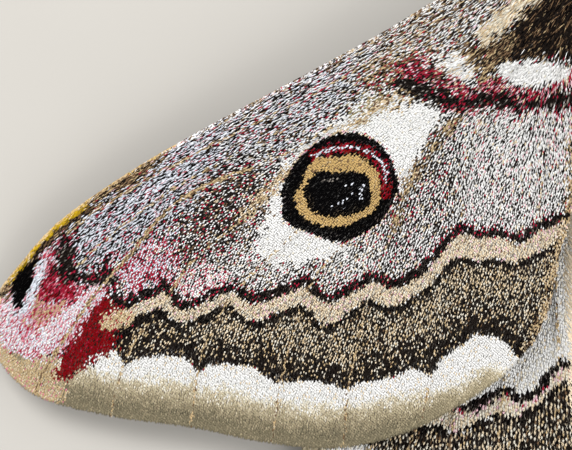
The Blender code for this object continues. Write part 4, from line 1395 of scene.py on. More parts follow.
@dataclass
class Wing:
    """One wing: its membrane, scales above and below, fringe and long hair.

    Pairs of sizes for what varies are (least, spread).
    """

    kind: WingKind
    side: str
    plan: WingPlan
    pattern: Pattern
    rows: tuple
    scale_size: tuple
    heading: tuple = (0.62, -0.78)
    seed: int = 40
    depth: float = 0.09
    size_spread: tuple = (0.85, 0.3)
    # The sheet under the scales
    membrane: float = 0.3
    margin_gap: float = 0.42
    membrane_rows: int = 64
    column_shares: tuple = (0.1, 0.24, 0.5, 0.76, 0.9)
    root_reach: float = 1.0
    skin_drop: float = 0.045
    rim_drop: float = 0.06
    rim_reach: tuple = (0.3, 1.3)
    edge_inset: float = 0.12
    edge_share: float = 0.6
    # How dark the sheet is against its scales' mean colour: painted shade, so that the gaps between scales
    # read as shadow
    skin_dark: float = 0.45
    # Upper scales: how far from margin and front edge they end, and how root and front draw them out
    scales_end: tuple = (0.3, 0.09)
    streak_front: tuple = (-4.0, -0.8)
    streak_root: tuple = (-15.0, -7.0)
    streak_length: float = 0.9
    streak_width: float = -0.1
    scale_stray: float = 0.12
    lift: float = 0.036
    lift_spread: tuple = (0.7, 0.6)
    # Rows of long scales that round off the front edge: (distance inwards, depth)
    edge_rows: tuple = ((0.03, 0.22), (0.035, 0.13), (0.05, 0.06), (0.08, 0.02), (0.12, 0.0), (0.17, -0.01))
    edge_count: int = 1300
    edge_turn: int = 4
    edge_length: tuple = (0.3, 0.12)
    edge_width: tuple = (0.052, 0.02)
    edge_stray: float = 0.03
    edge_depth: float = 0.05
    # Fringe of margin and rear edge
    fringe_rows: int = 3
    fringe_counts: tuple = (900, 500)
    fringe_reaches: tuple = (0.52, 0.4)
    fringe_start: int = 60
    fringe_length: tuple = (0.64, 0.2)
    fringe_width: tuple = (0.07, 0.03)
    # Long hair over root and front edge, at the thorax and beside the abdomen
    hair_rows: tuple = (0.2, 0.13)
    hair_root: tuple = (3.5, 7.5)
    hair_front: tuple = (0.2, 1.1)
    hair_out: tuple = (14.0, 30.0)
    hair_length: tuple = (0.4, 0.4)
    hair_width: tuple = (0.034, 0.016)
    root_hairs: int = 800
    root_length: tuple = (1.0, 0.7)
    root_width: tuple = (0.05, 0.03)
    inner_hairs: int = 900
    inner_length: tuple = (0.8, 0.7)
    inner_width: tuple = (0.04, 0.02)
    # Under side
    under_rows: tuple = (0.34, 0.2)
    under_size: tuple = (0.62, 0.27)
    under_end: tuple = (0.5, 0.35)
    under_tint: tuple = (214, 200, 186)

    @property
    def node(self) -> str:
        """The CAD node that the wing replaces."""
        return f"{self.kind.value}_{self.side}"

    def _lay(self, points: Array, height: Array) -> Array:
        """Plan points and heights as places on the wing's own side."""
        return lay(SIDES[self.side], points, height)

    def build(self, scales: Material, membrane: Material) -> None:
        """Makes every piece of the wing.

        Args:
            scales: the finish of scales and hairs.
            membrane: the finish of the sheet under them.
        """
        self.build_membrane(membrane)
        self.build_upper(scales)
        self.build_under(scales)

    def _grid(self) -> Array:
        """The sheet's corners in plan.

        Returns:
            Rows from the root to the margin, of columns from the front edge to the rear one.
        """
        lines = self.plan.lines
        columns = [lines[0]]
        for k, (near, far) in enumerate(zip(lines, lines[1:])):
            first, last = int(k == 0), int(k == len(lines) - 2)
            shares = self.column_shares[first:len(self.column_shares) - last]
            columns += [*(near + (far - near) * t for t in shares), far]
        grid = np.stack(columns, axis=1)
        length = np.linalg.norm(np.diff(grid, axis=0), axis=2).sum(0)
        kept = 1 - self.margin_gap / length
        shares = np.linspace(0, 1, len(grid))
        grid = np.stack([np.stack([np.interp(np.linspace(0, kept[c], self.membrane_rows), shares,
                                             grid[:, c, axis]) for axis in (0, 1)], axis=1)
                         for c in range(grid.shape[1])], axis=1)
        for column, inner in ((0, 1), (-1, -2)):
            inward = grid[:, inner] - grid[:, column]
            room = np.linalg.norm(inward, axis=1)[:, None]
            grid[:, column] += np.minimum(self.edge_inset, self.edge_share * room) * inward / room
        return np.concatenate([grid[:1] - (self.root_reach, 0), grid], axis=0)

    def build_membrane(self, material: Material) -> None:
        """Makes the thin closed sheet that carries the scales.

        Args:
            material: the finish.
        """
        grid = self._grid()
        rows, columns = grid.shape[:2]
        bpy.ops.object.select_all(action="DESELECT")
        bpy.ops.mesh.primitive_grid_add(x_subdivisions=columns - 1, y_subdivisions=rows - 1, size=1.0)
        item = bpy.context.object
        item.name = item.data.name = f"{self.node}_membrane"
        plan = grid.reshape(-1, 2)
        rim = np.minimum(*(distance_to(plan, line)[0] for line in (self.plan.lines[0], self.plan.margin)))
        height = self.plan.height(plan) - self.rim_drop * (1 - smooth_step(rim, *self.rim_reach))
        places = self._lay(plan, height - self.depth - self.skin_drop)
        item.data.vertices.foreach_set("co", (places * MM).astype(np.float32).ravel())
        item.data.update()
        with whole_mesh():
            bpy.ops.mesh.quads_convert_to_tris()
        if sum(face.normal.z for face in item.data.polygons) < 0:
            item.data.flip_normals()
        solidify = item.modifiers.new("thickness", "SOLIDIFY")
        solidify.thickness = self.membrane * MM
        solidify.offset = -1.0
        bpy.ops.object.modifier_apply(modifier=solidify.name)
        final = places_of(item.data)
        # The sheet's colour is the scales' mean, darkened as painted shade in the gaps between them
        shade(item.data, self.skin_dark * self.pattern.mean(
            np.stack([np.abs(final[:, 0]), final[:, 1] - MIDDLE_Y], axis=1)))
        bpy.ops.object.shade_smooth_by_angle(angle=SMOOTH_ANGLE)
        dress(item, material, "wing", self.node)

    def _tips(self, plan: Array, length: Array, turn: Array) -> tuple:
        """Roots' and tips' heights and the tips' plan places.

        Args:
            plan: the roots in plan.
            length: each tuft's length.
            turn: how far each is turned off the lie.

        Returns:
            Root heights, tip plan places and tip heights.
        """
        height, lie = self.plan.survey(plan)
        cos, sin = np.cos(turn), np.sin(turn)
        way = np.stack([lie[:, 0] * cos - lie[:, 1] * sin, lie[:, 0] * sin + lie[:, 1] * cos], axis=1)
        tip = plan + way * length[:, None]
        return height, tip, self.plan.height(tip)

    def build_upper(self, material: Material) -> None:
        """Makes the upper side's scales, the fringe and the long hair.

        Args:
            material: the finish.
        """
        coat = Coat(f"{self.node}_scales")
        draw = np.random.default_rng(self.seed)
        plan = self.plan.lattice(*self.rows, self.heading, self.seed)
        front = distance_to(plan, self.plan.lines[0])[0]
        kept = (distance_to(plan, self.plan.margin)[0] > self.scales_end[0]) & (front > self.scales_end[1])
        plan, front = plan[kept], front[kept]
        length = self.scale_size[0] * varied(draw, len(plan), self.size_spread)
        width = self.scale_size[1] * varied(draw, len(plan), self.size_spread)
        streak = np.maximum(smooth_step(-front, *self.streak_front), smooth_step(
            -np.linalg.norm(plan - (ROOT_OUT, 0.0), axis=1), *self.streak_root))
        length *= 1 + self.streak_length * streak
        width *= 1 + self.streak_width * streak
        length = np.minimum(length, np.maximum(distance_to(plan, self.plan.margin)[0] - 0.02, 0.1))
        stray = self.scale_stray * smooth_step(front, -0.2, 0.5)
        low, tip, high = self._tips(plan, length, stray * draw.standard_normal(len(plan)))
        lift = self.lift * varied(draw, len(plan), self.lift_spread)
        weave = self.plan.weave(plan, *self.rows, self.heading)
        coat.plates(self._lay(plan, low - self.depth - 0.01), self._lay(tip, high - self.depth + lift), UP,
                    width, self.pattern.paint(plan, self.seed, weave), self.plan.patch(plan))
        self._front_edge(coat, draw)
        self._fringe(coat, draw)
        self._long_hair(coat, draw)
        self._root_hair(coat, draw)
        if self.kind is WingKind.HIND:
            self._inner_hair(coat, draw)
        coat.make(material, "wing")

    def _front_edge(self, coat: Coat, draw: np.random.Generator) -> None:
        """Adds rows of long scales that lie along the front edge and round it off.

        Args:
            coat: where they go.
            draw: the random draws.
        """
        corner = np.vstack([self.plan.lines[0], self.plan.margin[1:self.edge_turn]])
        edge = smooth_line(corner, self.edge_count)
        count = len(edge)
        way = unit(np.gradient(edge, axis=0))
        inward = np.stack([way[:, 1], -way[:, 0]], axis=1)
        if within(edge + inward * PROBE, self.plan.outline).mean() <= 0.5:
            inward *= -1
        for inset, sink in self.edge_rows:
            root = edge + inward * inset + way * self.edge_stray * draw.standard_normal(count)[:, None]
            length = varied(draw, count, self.edge_length)
            stray = self.edge_stray + self.edge_stray * draw.standard_normal((count, 1))
            tip = root + (way + inward * stray) * length[:, None]
            low = self.plan.height(root) - self.depth - sink
            high = self.plan.height(tip) - self.depth - sink + 0.02
            width = varied(draw, count, self.edge_width)
            colour = self.pattern.paint(root + inward * 0.05, self.seed + 11)
            coat.plates(self._lay(root, low), self._lay(tip, high), UP, width, colour,
                        self.plan.patch(root), self.edge_depth)

    def _fringe(self, coat: Coat, draw: np.random.Generator) -> None:
        """Adds rows of fine scales that stand out over the margin and the rear edge.

        Args:
            coat: where they go.
            draw: the random draws.
        """
        margin = smooth_line(self.plan.margin, self.fringe_counts[0])
        rear = smooth_line(self.plan.lines[-1], self.fringe_counts[1])[self.fringe_start:]
        for edge, reach in zip((margin, rear), self.fringe_reaches):
            way = np.gradient(edge, axis=0)
            outward = self.plan.outward(edge, way)
            lie = self.plan.survey(edge)[1]
            for row in range(self.fringe_rows):
                shift = (draw.random(len(edge)) - 0.5)[:, None] * way
                root = edge + shift - outward * (reach * (0.9 + 0.22 * row))
                heading = unit(outward + 0.4 * lie + 0.12 * draw.standard_normal(edge.shape))
                length = reach * varied(draw, len(edge), self.fringe_length)
                tip = root + heading * length[:, None]
                low = self.plan.height(root) - self.depth
                high = self.plan.height(tip) - self.depth - 0.02 * row
                coat.plates(self._lay(root, low), self._lay(tip, high), UP,
                            varied(draw, len(edge), self.fringe_width),
                            self.pattern.paint(root + outward * 0.2, self.seed + 7 + row),
                            self.plan.patch(root))

    def _long_hair(self, coat: Coat, draw: np.random.Generator) -> None:
        """Adds long soft hair over the root and along the front edge.

        Args:
            coat: where it goes.
            draw: the random draws.
        """
        plan = self.plan.lattice(*self.hair_rows, self.heading, self.seed + 3)
        front = distance_to(plan, self.plan.lines[0])[0]
        near_root = 1 - smooth_step(np.linalg.norm(plan - (ROOT_OUT, 0.0), axis=1), *self.hair_root)
        near_edge = 0.6 * (1 - smooth_step(front, *self.hair_front)) \
            * (1 - smooth_step(plan[:, 0], *self.hair_out))
        kept = (draw.random(len(plan)) < np.maximum(near_root, near_edge)) & (front > 0.22)
        plan = plan[kept]
        length = varied(draw, len(plan), self.hair_length) * (0.6 + 0.5 * near_root[kept])
        low, tip, high = self._tips(plan, length, 0.2 * draw.standard_normal(len(plan)))
        coat.hairs(self._lay(plan, low - self.depth), self._lay(tip, high + 0.02), UP,
                   varied(draw, len(plan), self.hair_width), self.pattern.paint(plan, self.seed + 5),
                   self.plan.patch(plan), 0.07)

    def _root_hair(self, coat: Coat, draw: np.random.Generator) -> None:
        """Adds the long hair that hides where the wing leaves the thorax.

        Args:
            coat: where it goes.
            draw: the random draws.
        """
        ends = [line[0][1] for line in self.plan.lines]
        plan = np.stack([draw.uniform(ROOT_OUT - 1.15, ROOT_OUT + 0.25, self.root_hairs),
                         draw.uniform(min(ends) + 0.05, max(ends) - 0.08, self.root_hairs)], axis=1)
        length = varied(draw, len(plan), self.root_length)
        inside = np.stack([np.maximum(plan[:, 0], ROOT_OUT + 0.2), plan[:, 1]], axis=1)
        way = unit(self.plan.survey(inside)[1] + (0.9, 0.0) + 0.14 * draw.standard_normal(plan.shape))
        tip = plan + way * length[:, None]
        low, high = self.plan.height(plan) - self.depth, self.plan.height(tip) + 0.03
        coat.hairs(self._lay(plan, low), self._lay(tip, high), UP, varied(draw, len(plan), self.root_width),
                   self.pattern.paint(plan + (1.6, -0.5), self.seed + 15),
                   self.plan.patch(np.maximum(plan, self.plan.low)), 0.1)

    def _inner_hair(self, coat: Coat, draw: np.random.Generator) -> None:
        """Adds the hindwing's long pale hair along the edge beside the abdomen.

        Args:
            coat: where it goes.
            draw: the random draws.
        """
        edge = smooth_line(self.plan.lines[-1], self.inner_hairs)[:round(0.86 * self.inner_hairs)]
        way = unit(np.gradient(edge, axis=0))
        outward = self.plan.outward(edge, way)
        root = edge - outward * draw.uniform(0.15, 0.6, len(edge))[:, None]
        heading = unit(0.75 * outward + way + 0.16 * draw.standard_normal(edge.shape))
        tip = root + heading * varied(draw, len(edge), self.inner_length)[:, None]
        low = self.plan.height(root) - self.depth
        high = self.plan.height(tip) - self.depth - 0.25 * draw.random(len(edge))
        tints = mix(cream=0.4, ivory=0.25, tan=0.2, grey=0.15) @ TINT_TABLE
        colour = tints * varied(draw, (len(edge), 1), (0.75, 0.4))
        coat.hairs(self._lay(root, low), self._lay(tip, high), UP,
                   varied(draw, len(edge), self.inner_width), colour, self.plan.patch(root), 0.08)

    def build_under(self, material: Material) -> None:
        """Makes the under side's broader, paler scales.

        Args:
            material: the finish.
        """
        coat = Coat(f"{self.node}_under_scales")
        draw = np.random.default_rng(self.seed + 20)
        plan = self.plan.lattice(*self.under_rows, self.heading, self.seed + 21)
        plan = plan[(distance_to(plan, self.plan.margin)[0] > self.under_end[0])
                    & (distance_to(plan, self.plan.lines[0])[0] > self.under_end[1])]
        length = self.under_size[0] * varied(draw, len(plan), self.size_spread)
        width = self.under_size[1] * varied(draw, len(plan), self.size_spread)
        length = np.minimum(length, np.maximum(distance_to(plan, self.plan.margin)[0] - 0.25, 0.2))
        low, tip, high = self._tips(plan, length, 0.2 * draw.standard_normal(len(plan)))
        under = self.depth + self.skin_drop + self.membrane + 0.02
        colour = 0.6 * self.pattern.paint(plan, self.seed + 22) + 0.4 * np.array(linear(*self.under_tint))
        coat.plates(self._lay(plan, low - under + 0.02), self._lay(tip, high - under - 0.05), -UP,
                    width, colour, self.plan.patch(plan))
        coat.make(material, "wing")


# Body stations: (along, half width, half height, height of the centre), out to the coat's tips
BODY_STATIONS = (
    (7.7, 0.5, 0.55, 4.2), (7.1, 1.2, 1.2, 4.3), (6.3, 1.7, 1.65, 4.45), (5.4, 1.75, 1.7, 4.55),
    (4.5, 1.7, 1.65, 4.7), (3.2, 2.6, 2.45, 4.85), (1.6, 3.05, 2.9, 4.95), (-0.3, 3.15, 3.1, 5.0),
    (-2.2, 3.05, 3.0, 5.0), (-3.8, 2.75, 2.65, 4.9), (-5.0, 2.45, 2.3, 4.7), (-6.4, 3.2, 2.9, 4.3),
    (-8.6, 3.7, 3.2, 3.75), (-11.0, 3.9, 3.3, 3.35), (-13.4, 3.9, 3.3, 3.2), (-15.8, 3.65, 3.15, 3.05),
    (-18.0, 3.1, 2.7, 2.75), (-20.0, 2.2, 1.95, 2.5), (-21.2, 1.2, 1.1, 2.35))
COAT_DEPTH = 0.45
WAIST = -5.0
TAIL_TIP = -22.3
FLOOR_CLEARANCE = 0.02

# Legs of the right side: inside the thorax, hip, knee, ankle, arch of the foot and toe
LEGS = {
    "front": ((0.9, 2.6, 3.3), (1.9, 3.5, 2.3), (4.1, 5.4, 2.5), (5.0, 8.0, 0.85), (5.3, 9.2, 0.36),
              (5.6, 10.35, 0.2)),
    "mid": ((1.1, 0.3, 3.0), (2.45, 0.4, 2.05), (5.4, 0.5, 2.6), (7.6, 0.1, 0.85), (8.75, -0.3, 0.36),
            (9.85, -0.7, 0.2)),
    "hind": ((1.0, -2.2, 3.0), (2.3, -2.7, 2.05), (4.7, -4.4, 2.2), (6.3, -7.8, 0.85),
             (6.7, -9.2, 0.36), (7.1, -10.5, 0.2)),
}
ANTENNA_LINE = ((0.55, 6.5, 5.1), (0.75, 6.9, 6.05), (1.15, 7.9, 6.7), (2.2, 9.4, 7.0),
                (3.5, 10.9, 6.8), (4.8, 12.1, 6.2), (5.9, 12.85, 5.45))
EYE_CENTRE = (1.15, 6.3, 4.5)
PALP_LINE = ((0.3, 6.6, 3.7), (0.4, 7.3, 3.55), (0.36, 7.85, 3.75))


def placed(point: Array) -> Array:
    """Body points with the thorax's middle moved to its place in the frame."""
    return np.asarray(point, float) + (0.0, MIDDLE_Y, 0.0)


def mirrored(points: tuple, side: str) -> Array:
    """Points of the right side, moved to the wanted one."""
    return np.array(points) * (SIDES[side], 1, 1)


def round_body(angle: Array, along: Array) -> Array:
    """Places on the plan that the body's markings are drawn on."""
    return np.stack([angle * 3, along], axis=1)


def body_patch(angle: Array, along: Array) -> Array:
    """Where places on the body fall on its unwrap."""
    shares = np.stack([angle / (2 * math.pi) + 0.5, (along + 21.5) / 29.5], axis=1)
    return BAKE_BORDER + (1 - 2 * BAKE_BORDER) * shares


def tube(name: str, line: Array, radii: tuple | Array, sides: int = 3) -> object:
    """A closed round tube along a line.

    Args:
        name: the object's name.
        line: its middle, in millimetres.
        radii: its radius at each point.
        sides: how fine its round is.

    Returns:
        The mesh object.
    """
    curve = bpy.data.curves.new(name, "CURVE")
    curve.dimensions = "3D"
    curve.bevel_depth = MM
    curve.bevel_resolution = sides
    curve.use_fill_caps = True
    spline = curve.splines.new("POLY")
    spline.points.add(len(line) - 1)
    for point, place, radius in zip(spline.points, line, radii):
        point.co = (*(place * MM), 1.0)
        point.radius = radius
    item = bpy.data.objects.new(name, curve)
    bpy.context.scene.collection.objects.link(item)
    bpy.ops.object.select_all(action="DESELECT")
    item.select_set(True)
    bpy.context.view_layer.objects.active = item
    bpy.ops.object.convert(target="MESH")
    with whole_mesh():
        bpy.ops.mesh.remove_doubles(threshold=0.002 * MM)
    return bpy.context.object


def joined(items: list, name: str) -> object:
    """Joins objects into one.

    Args:
        items: mesh objects.
        name: the joined object's name.

    Returns:
        The object.
    """
    bpy.ops.object.select_all(action="DESELECT")
    for item in items:
        item.select_set(True)
    bpy.context.view_layer.objects.active = items[0]
    bpy.ops.object.join()
    joined_item = bpy.context.object
    joined_item.name = joined_item.data.name = name
    return joined_item


def body_pattern() -> Pattern:
    """The body's markings, on a plan of (angle from the top times 3, along).

    Returns:
        The pattern.
    """
    def ring(along: float, half: float, soft: float, tints: Array) -> Zone:
        """A band right round the body."""
        return Zone(((-12.0, along), (12.0, along)), tints, soft, half, smooth=False)

    zones = [ring(-13.5, 9.0, 0.6, mix(grey=0.34, brown=0.3, tan=0.2, dark=0.16))]
    zones += [ring(along, 0.42, 0.7, mix(cream=0.55, white=0.3, tan=0.15))
              for along in (-6.6, -8.8, -11.0, -13.2, -15.4, -17.5, -19.4)]
    flank = mix(cream=0.4, tan=0.35, grey=0.25)
    zones += [
        ring(-4.6, 0.7, 0.8, mix(tan=0.4, cream=0.35, brown=0.25)),
        ring(3.9, 0.55, 0.6, mix(cream=0.6, white=0.25, tan=0.15)),
        ring(6.4, 1.6, 0.5, mix(brown=0.5, dark=0.3, tan=0.2)),
        *(Zone(((edge, -30.0), (edge, 10.0)), flank, 1.5, 3.2, smooth=False) for edge in (9.4, -9.4)),
    ]
    return Pattern(mix(dark=0.46, brown=0.36, tan=0.12, grey=0.06), tuple(zones))


@dataclass
class Body:
    """Head, thorax, abdomen and legs: one skin and the fur over it.

    Pairs of sizes for what varies are (least, spread).
    """

    around: int = 28
    rings: int = 46
    least_radius: float = 0.12
    skin_dark: float = 0.8
    limb_tint: tuple = (150, 116, 78)
    limb_from: tuple = (2.3, 3.4)
    limb_below: float = 3.2
    pattern: Pattern = field(default_factory=body_pattern)
    seed: int = 90
    # Fur of the trunk: tries, where it grows, and its lengths along the body
    tufts: int = 29000
    tuft_width: tuple = (0.055, 0.1)
    fur_ends: tuple = (-21.1, 7.5)
    widest: float = 3.9
    length_at: tuple = (-21, -19, -6, -4, 0, 3.5, 4.5, 7.5)
    lengths: tuple = (0.8, 1.3, 1.5, 2.2, 2.1, 1.9, 1.1, 0.7)
    length_spread: tuple = (0.75, 0.5)
    head_from: float = 3.5
    head_density: float = 2.0
    trunk_density: float = 0.8
    eye_from: float = 5.0
    eye_gap: float = 0.78
    fur_sink: float = -0.05
    fur_lean: float = 0.93
    fur_stray: float = 0.12
    fur_rise: tuple = (0.45, 0.5)
    fur_arch: float = 0.05
    face_tufts: int = 750
    face_reach: float = 0.95
    face_length: tuple = (0.35, 0.3)
    face_width: tuple = (0.05, 0.03)
    # Legs and palps: their radii from hip to toe and from root to tip, and the hair's lengths
    leg_radii: tuple = (0.5, 0.44, 0.4, 0.34, 0.3, 0.24, 0.21, 0.17)
    leg_shares: tuple = (0.0, 0.12, 0.3, 0.4, 0.6, 0.72, 0.85, 1.0)
    foot_share: float = 0.72
    foot_joints: int = 5
    leg_tufts: int = 760
    leg_lengths: tuple = (0.9, 0.9, 0.75, 0.35, 0.2)
    palp_radii: tuple = (0.24, 0.05)
    palp_tufts: int = 110
    palp_lengths: tuple = (0.3, 0.36, 0.4, 0.4, 0.3)
    limb_tints: tuple = ((150, 116, 82), (108, 82, 62), (190, 160, 120), (66, 52, 42))
    limb_parts: tuple = (0.4, 0.3, 0.18, 0.12)
    limb_steps: int = 200
    # Eyes, feelers and claws
    eye_radius: float = 0.89
    facet_rim: float = 0.014
    shaft_radii: tuple = (0.24, 0.17, 0.07)
    shaft_shares: tuple = (0, 0.1, 1)
    shaft_steps: int = 240
    shaft_rings: int = 34
    teeth: int = 30
    tooth_reach: float = 0.8
    tooth_radii: tuple = (0.06, 0.05, 0.04, 0.022)
    claw_path: tuple = ((-0.1, 0.05, 0.03), (0.06, 0.1, 0.06), (0.18, 0.13, 0.0), (0.22, 0.14, -0.12))
    claw_radii: tuple = (0.05, 0.045, 0.03, 0.012)

    def build(self, skin: Material, fur: Material, eye: Material,
              horn: Material) -> None:
        """Makes every piece of the body.

        Args:
            skin, fur, eye, horn: the finishes.
        """
        self.build_skin(skin)
        self.build_fur(fur)
        self.build_leg_fur(fur)
        for side in SIDES:
            self.build_eye(side, eye)
            self.build_antenna(side, horn)
        self.build_claws(horn)

    def leg_line(self, side: str, leg: str, count: int = 60) -> Array:
        """The middle of one leg."""
        return placed(smooth_line(mirrored(LEGS[leg], side), count))

    def palp_line(self, side: str, count: int) -> Array:
        """The middle of one of the two palps under the face."""
        return placed(smooth_line(mirrored(PALP_LINE, side), count))

    def leg_radius(self, share: Array) -> Array:
        """The bare leg's radius at shares of its length, with the rings of the foot's joints.

        Args:
            share: shares of the length, 0 at the hip.

        Returns:
            The radii.
        """
        turns = (share - self.foot_share) * 2 * math.pi * self.foot_joints / (1 - self.foot_share)
        joints = 1 + 0.12 * np.cos(turns) * (share > self.foot_share)
        return np.interp(share, self.leg_shares, self.leg_radii) * joints

    def _trunk(self) -> object:
        """Draws the trunk out ring by ring, from the head to the tail.

        Returns:
            The closed mesh object.
        """
        rings = smooth_line(BODY_STATIONS, self.rings)
        rings[:, 1:3] = np.maximum(rings[:, 1:3] - COAT_DEPTH, self.least_radius)
        bpy.ops.object.select_all(action="DESELECT")
        first = placed((0.0, rings[0, 0], rings[0, 3])) * MM
        bpy.ops.mesh.primitive_circle_add(vertices=self.around, radius=MM, fill_type="NGON",
                                          location=first, rotation=(math.pi / 2, 0, 0))
        trunk = bpy.context.object
        bpy.ops.object.transform_apply(location=True, rotation=True, scale=True)
        with whole_mesh():
            bpy.ops.transform.resize(value=(rings[0, 1], 1, rings[0, 2]), center_override=first)
            for near, far in zip(rings, rings[1:]):
                bpy.ops.mesh.extrude_region_move(TRANSFORM_OT_translate={
                    "value": (0, (far[0] - near[0]) * MM, (far[3] - near[3]) * MM)})
                bpy.ops.transform.resize(value=(far[1] / near[1], 1, far[2] / near[2]),
                                         center_override=placed((0.0, far[0], far[3])) * MM)
        return trunk

    def build_skin(self, material: Material) -> None:
        """Makes the trunk, joins legs and palps to it and colours the skin.

        Args:
            material: the finish.
        """
        trunk = self._trunk()
        limbs = bpy.data.collections.new("limbs")
        bpy.context.scene.collection.children.link(limbs)
        made = []
        for side in SIDES:
            for leg in LEGS:
                radii = self.leg_radius(np.linspace(0, 1, 60))
                made.append(tube("limb", self.leg_line(side, leg), radii, 4))
            made.append(tube("palp", self.palp_line(side, 8), np.linspace(*self.palp_radii, 8)))
        for limb in made:
            bpy.context.scene.collection.objects.unlink(limb)
            limbs.objects.link(limb)
        union = trunk.modifiers.new("limbs", "BOOLEAN")
        union.operation = "UNION"
        union.operand_type = "COLLECTION"
        union.collection = limbs
        union.solver = "MANIFOLD"
        bpy.context.view_layer.objects.active = trunk
        bpy.ops.object.modifier_apply(modifier=union.name)
        for limb in made:
            bpy.data.objects.remove(limb)
        bpy.data.collections.remove(limbs)
        trunk.name = trunk.data.name = "body_skin"
        places = places_of(trunk.data) - placed((0.0, 0.0, 0.0))
        stations = np.array(BODY_STATIONS[::-1])
        heights = np.interp(places[:, 1], stations[:, 0], stations[:, 3])
        angle = np.arctan2(places[:, 0], places[:, 2] - heights)
        colour = self.pattern.mean(round_body(angle, places[:, 1]))
        limb_share = smooth_step(np.abs(places[:, 0]), *self.limb_from)[:, None] \
            * (places[:, 2:] < self.limb_below)
        limb_colour = np.array(linear(*self.limb_tint))
        shade(trunk.data, (colour * (1 - limb_share) + limb_colour * limb_share) * self.skin_dark)
        trunk.select_set(True)
        bpy.ops.object.shade_smooth_by_angle(angle=SMOOTH_ANGLE)
        dress(trunk, material, "fur", "head", "thorax", "abdomen",
              *[f"leg_{leg}_{side}" for leg in LEGS for side in SIDES])

    def surface(self, along: Array, angle: Array, proud: Array) -> Array:
        """Places on the trunk.

        Args:
            along: how far along the body.
            angle: from the top towards the right side.
            proud: how far outside the skin.

        Returns:
            Places in millimetres, before the shift to the frame.
        """
        stations = smooth_line(BODY_STATIONS, 120)[::-1]
        wide, tall, centre = (np.interp(along, stations[:, 0], stations[:, k]) for k in (1, 2, 3))
        taper = np.clip((along - TAIL_TIP) / (stations[0, 0] - TAIL_TIP), 0.1, 1.0)
        wide, tall = (wide - COAT_DEPTH + proud) * taper, (tall - COAT_DEPTH + proud) * taper
        return np.stack([wide * np.sin(angle), along, centre + tall * np.cos(angle)], axis=1)

    def build_fur(self, material: Material) -> None:
        """Covers the trunk in tufts that lie towards the tail.

        Args:
            material: the finish.
        """
        draw = np.random.default_rng(self.seed)
        along = draw.uniform(*self.fur_ends, self.tufts)
        angle = draw.uniform(-math.pi, math.pi, self.tufts)
        stations = np.array(BODY_STATIONS[::-1])
        girth = np.interp(along, stations[:, 0], stations[:, 1]) / self.widest
        kept = draw.random(len(along)) < girth * np.where(along > self.head_from, self.head_density,
                                                          self.trunk_density)
        along, angle = along[kept], angle[kept]
        length = np.interp(along, self.length_at, self.lengths)
        length *= varied(draw, len(along), self.length_spread)
        eye_gap = np.hypot(along - EYE_CENTRE[1], (np.abs(angle) - math.pi / 2) * 1.4)
        clear = (along < self.eye_from) | (eye_gap > self.eye_gap)
        along, angle, length = along[clear], angle[clear], length[clear]
        root = self.surface(along, angle, np.full(len(along), self.fur_sink))
        spread = self.fur_stray * draw.standard_normal(len(along))
        rise = COAT_DEPTH * varied(draw, len(along), self.fur_rise)
        behind = np.maximum(along - length * self.fur_lean, TAIL_TIP + 0.1)
        tip = self.surface(behind, angle + spread, rise)
        normal = unit(self.surface(along, angle, np.ones(len(along)))
                      - self.surface(along, angle, np.zeros(len(along))))
        tip[:, 2] = np.maximum(tip[:, 2], FLOOR_CLEARANCE)
        root[:, 2] = np.maximum(root[:, 2], 2 * FLOOR_CLEARANCE)
        width = draw.uniform(*self.tuft_width, len(along))
        colour = self.pattern.paint(round_body(angle, along), self.seed)
        patch = body_patch(angle, along)
        for name, slot, own in (("body_fur", "fur", along > WAIST),
                                ("abdomen_fur", "belly_fur", along <= WAIST)):
            coat = Coat(name)
            coat.hairs(placed(root[own]), placed(tip[own]), normal[own], width[own], colour[own],
                       patch[own], self.fur_arch)
            if slot == "fur":
                self._face(coat, draw)
            coat.make(material, slot)

    def _face(self, coat: Coat, draw: np.random.Generator) -> None:
        """Adds the short hair of the face, which fans out and down from its middle.

        Args:
            coat: where it goes.
            draw: the random draws.
        """
        count = self.face_tufts
        angle = draw.uniform(-math.pi, math.pi, count)
        reach = self.face_reach * np.sqrt(draw.random(count))
        front = np.array(BODY_STATIONS[:3])
        along = np.interp(reach, front[:, 1] - COAT_DEPTH, front[:, 0])
        centre = np.interp(along, front[::-1, 0], front[::-1, 3])
        radial = np.stack([np.sin(angle), np.zeros_like(angle), np.cos(angle)], axis=1)
        root = radial * reach[:, None] + np.stack([0 * along, along - 0.04, centre], axis=1)
        way = unit(0.75 * radial + (0.0, 0.4, -0.45) + 0.2 * draw.standard_normal(root.shape))
        tip = root + way * varied(draw, count, self.face_length)[:, None]
        coat.hairs(placed(root), placed(tip), unit(radial + (0.0, 1.0, 0.0)),
                   varied(draw, count, self.face_width),
                   self.pattern.paint(round_body(angle, along), self.seed + 2),
                   body_patch(angle, along), self.fur_arch)

    def build_leg_fur(self, material: Material) -> None:
        """Covers the legs in short hair down to the feet, and the palps to their tips.

        Args:
            material: the finish.
        """
        draw = np.random.default_rng(self.seed + 1)
        coat = Coat("leg_fur")
        steps = self.limb_steps
        limbs = []
        for side in SIDES:
            for leg in LEGS:
                limbs.append((self.leg_line(side, leg, steps), self.leg_radius(np.linspace(0, 1, steps)),
                              self.leg_tufts, self.leg_lengths))
            limbs.append((self.palp_line(side, steps), np.linspace(*self.palp_radii, steps),
                          self.palp_tufts, self.palp_lengths))
        for number, limb in enumerate(limbs):
            self._limb_hair(coat, draw, *limb, (number, len(limbs)))
        coat.make(material, "fur")

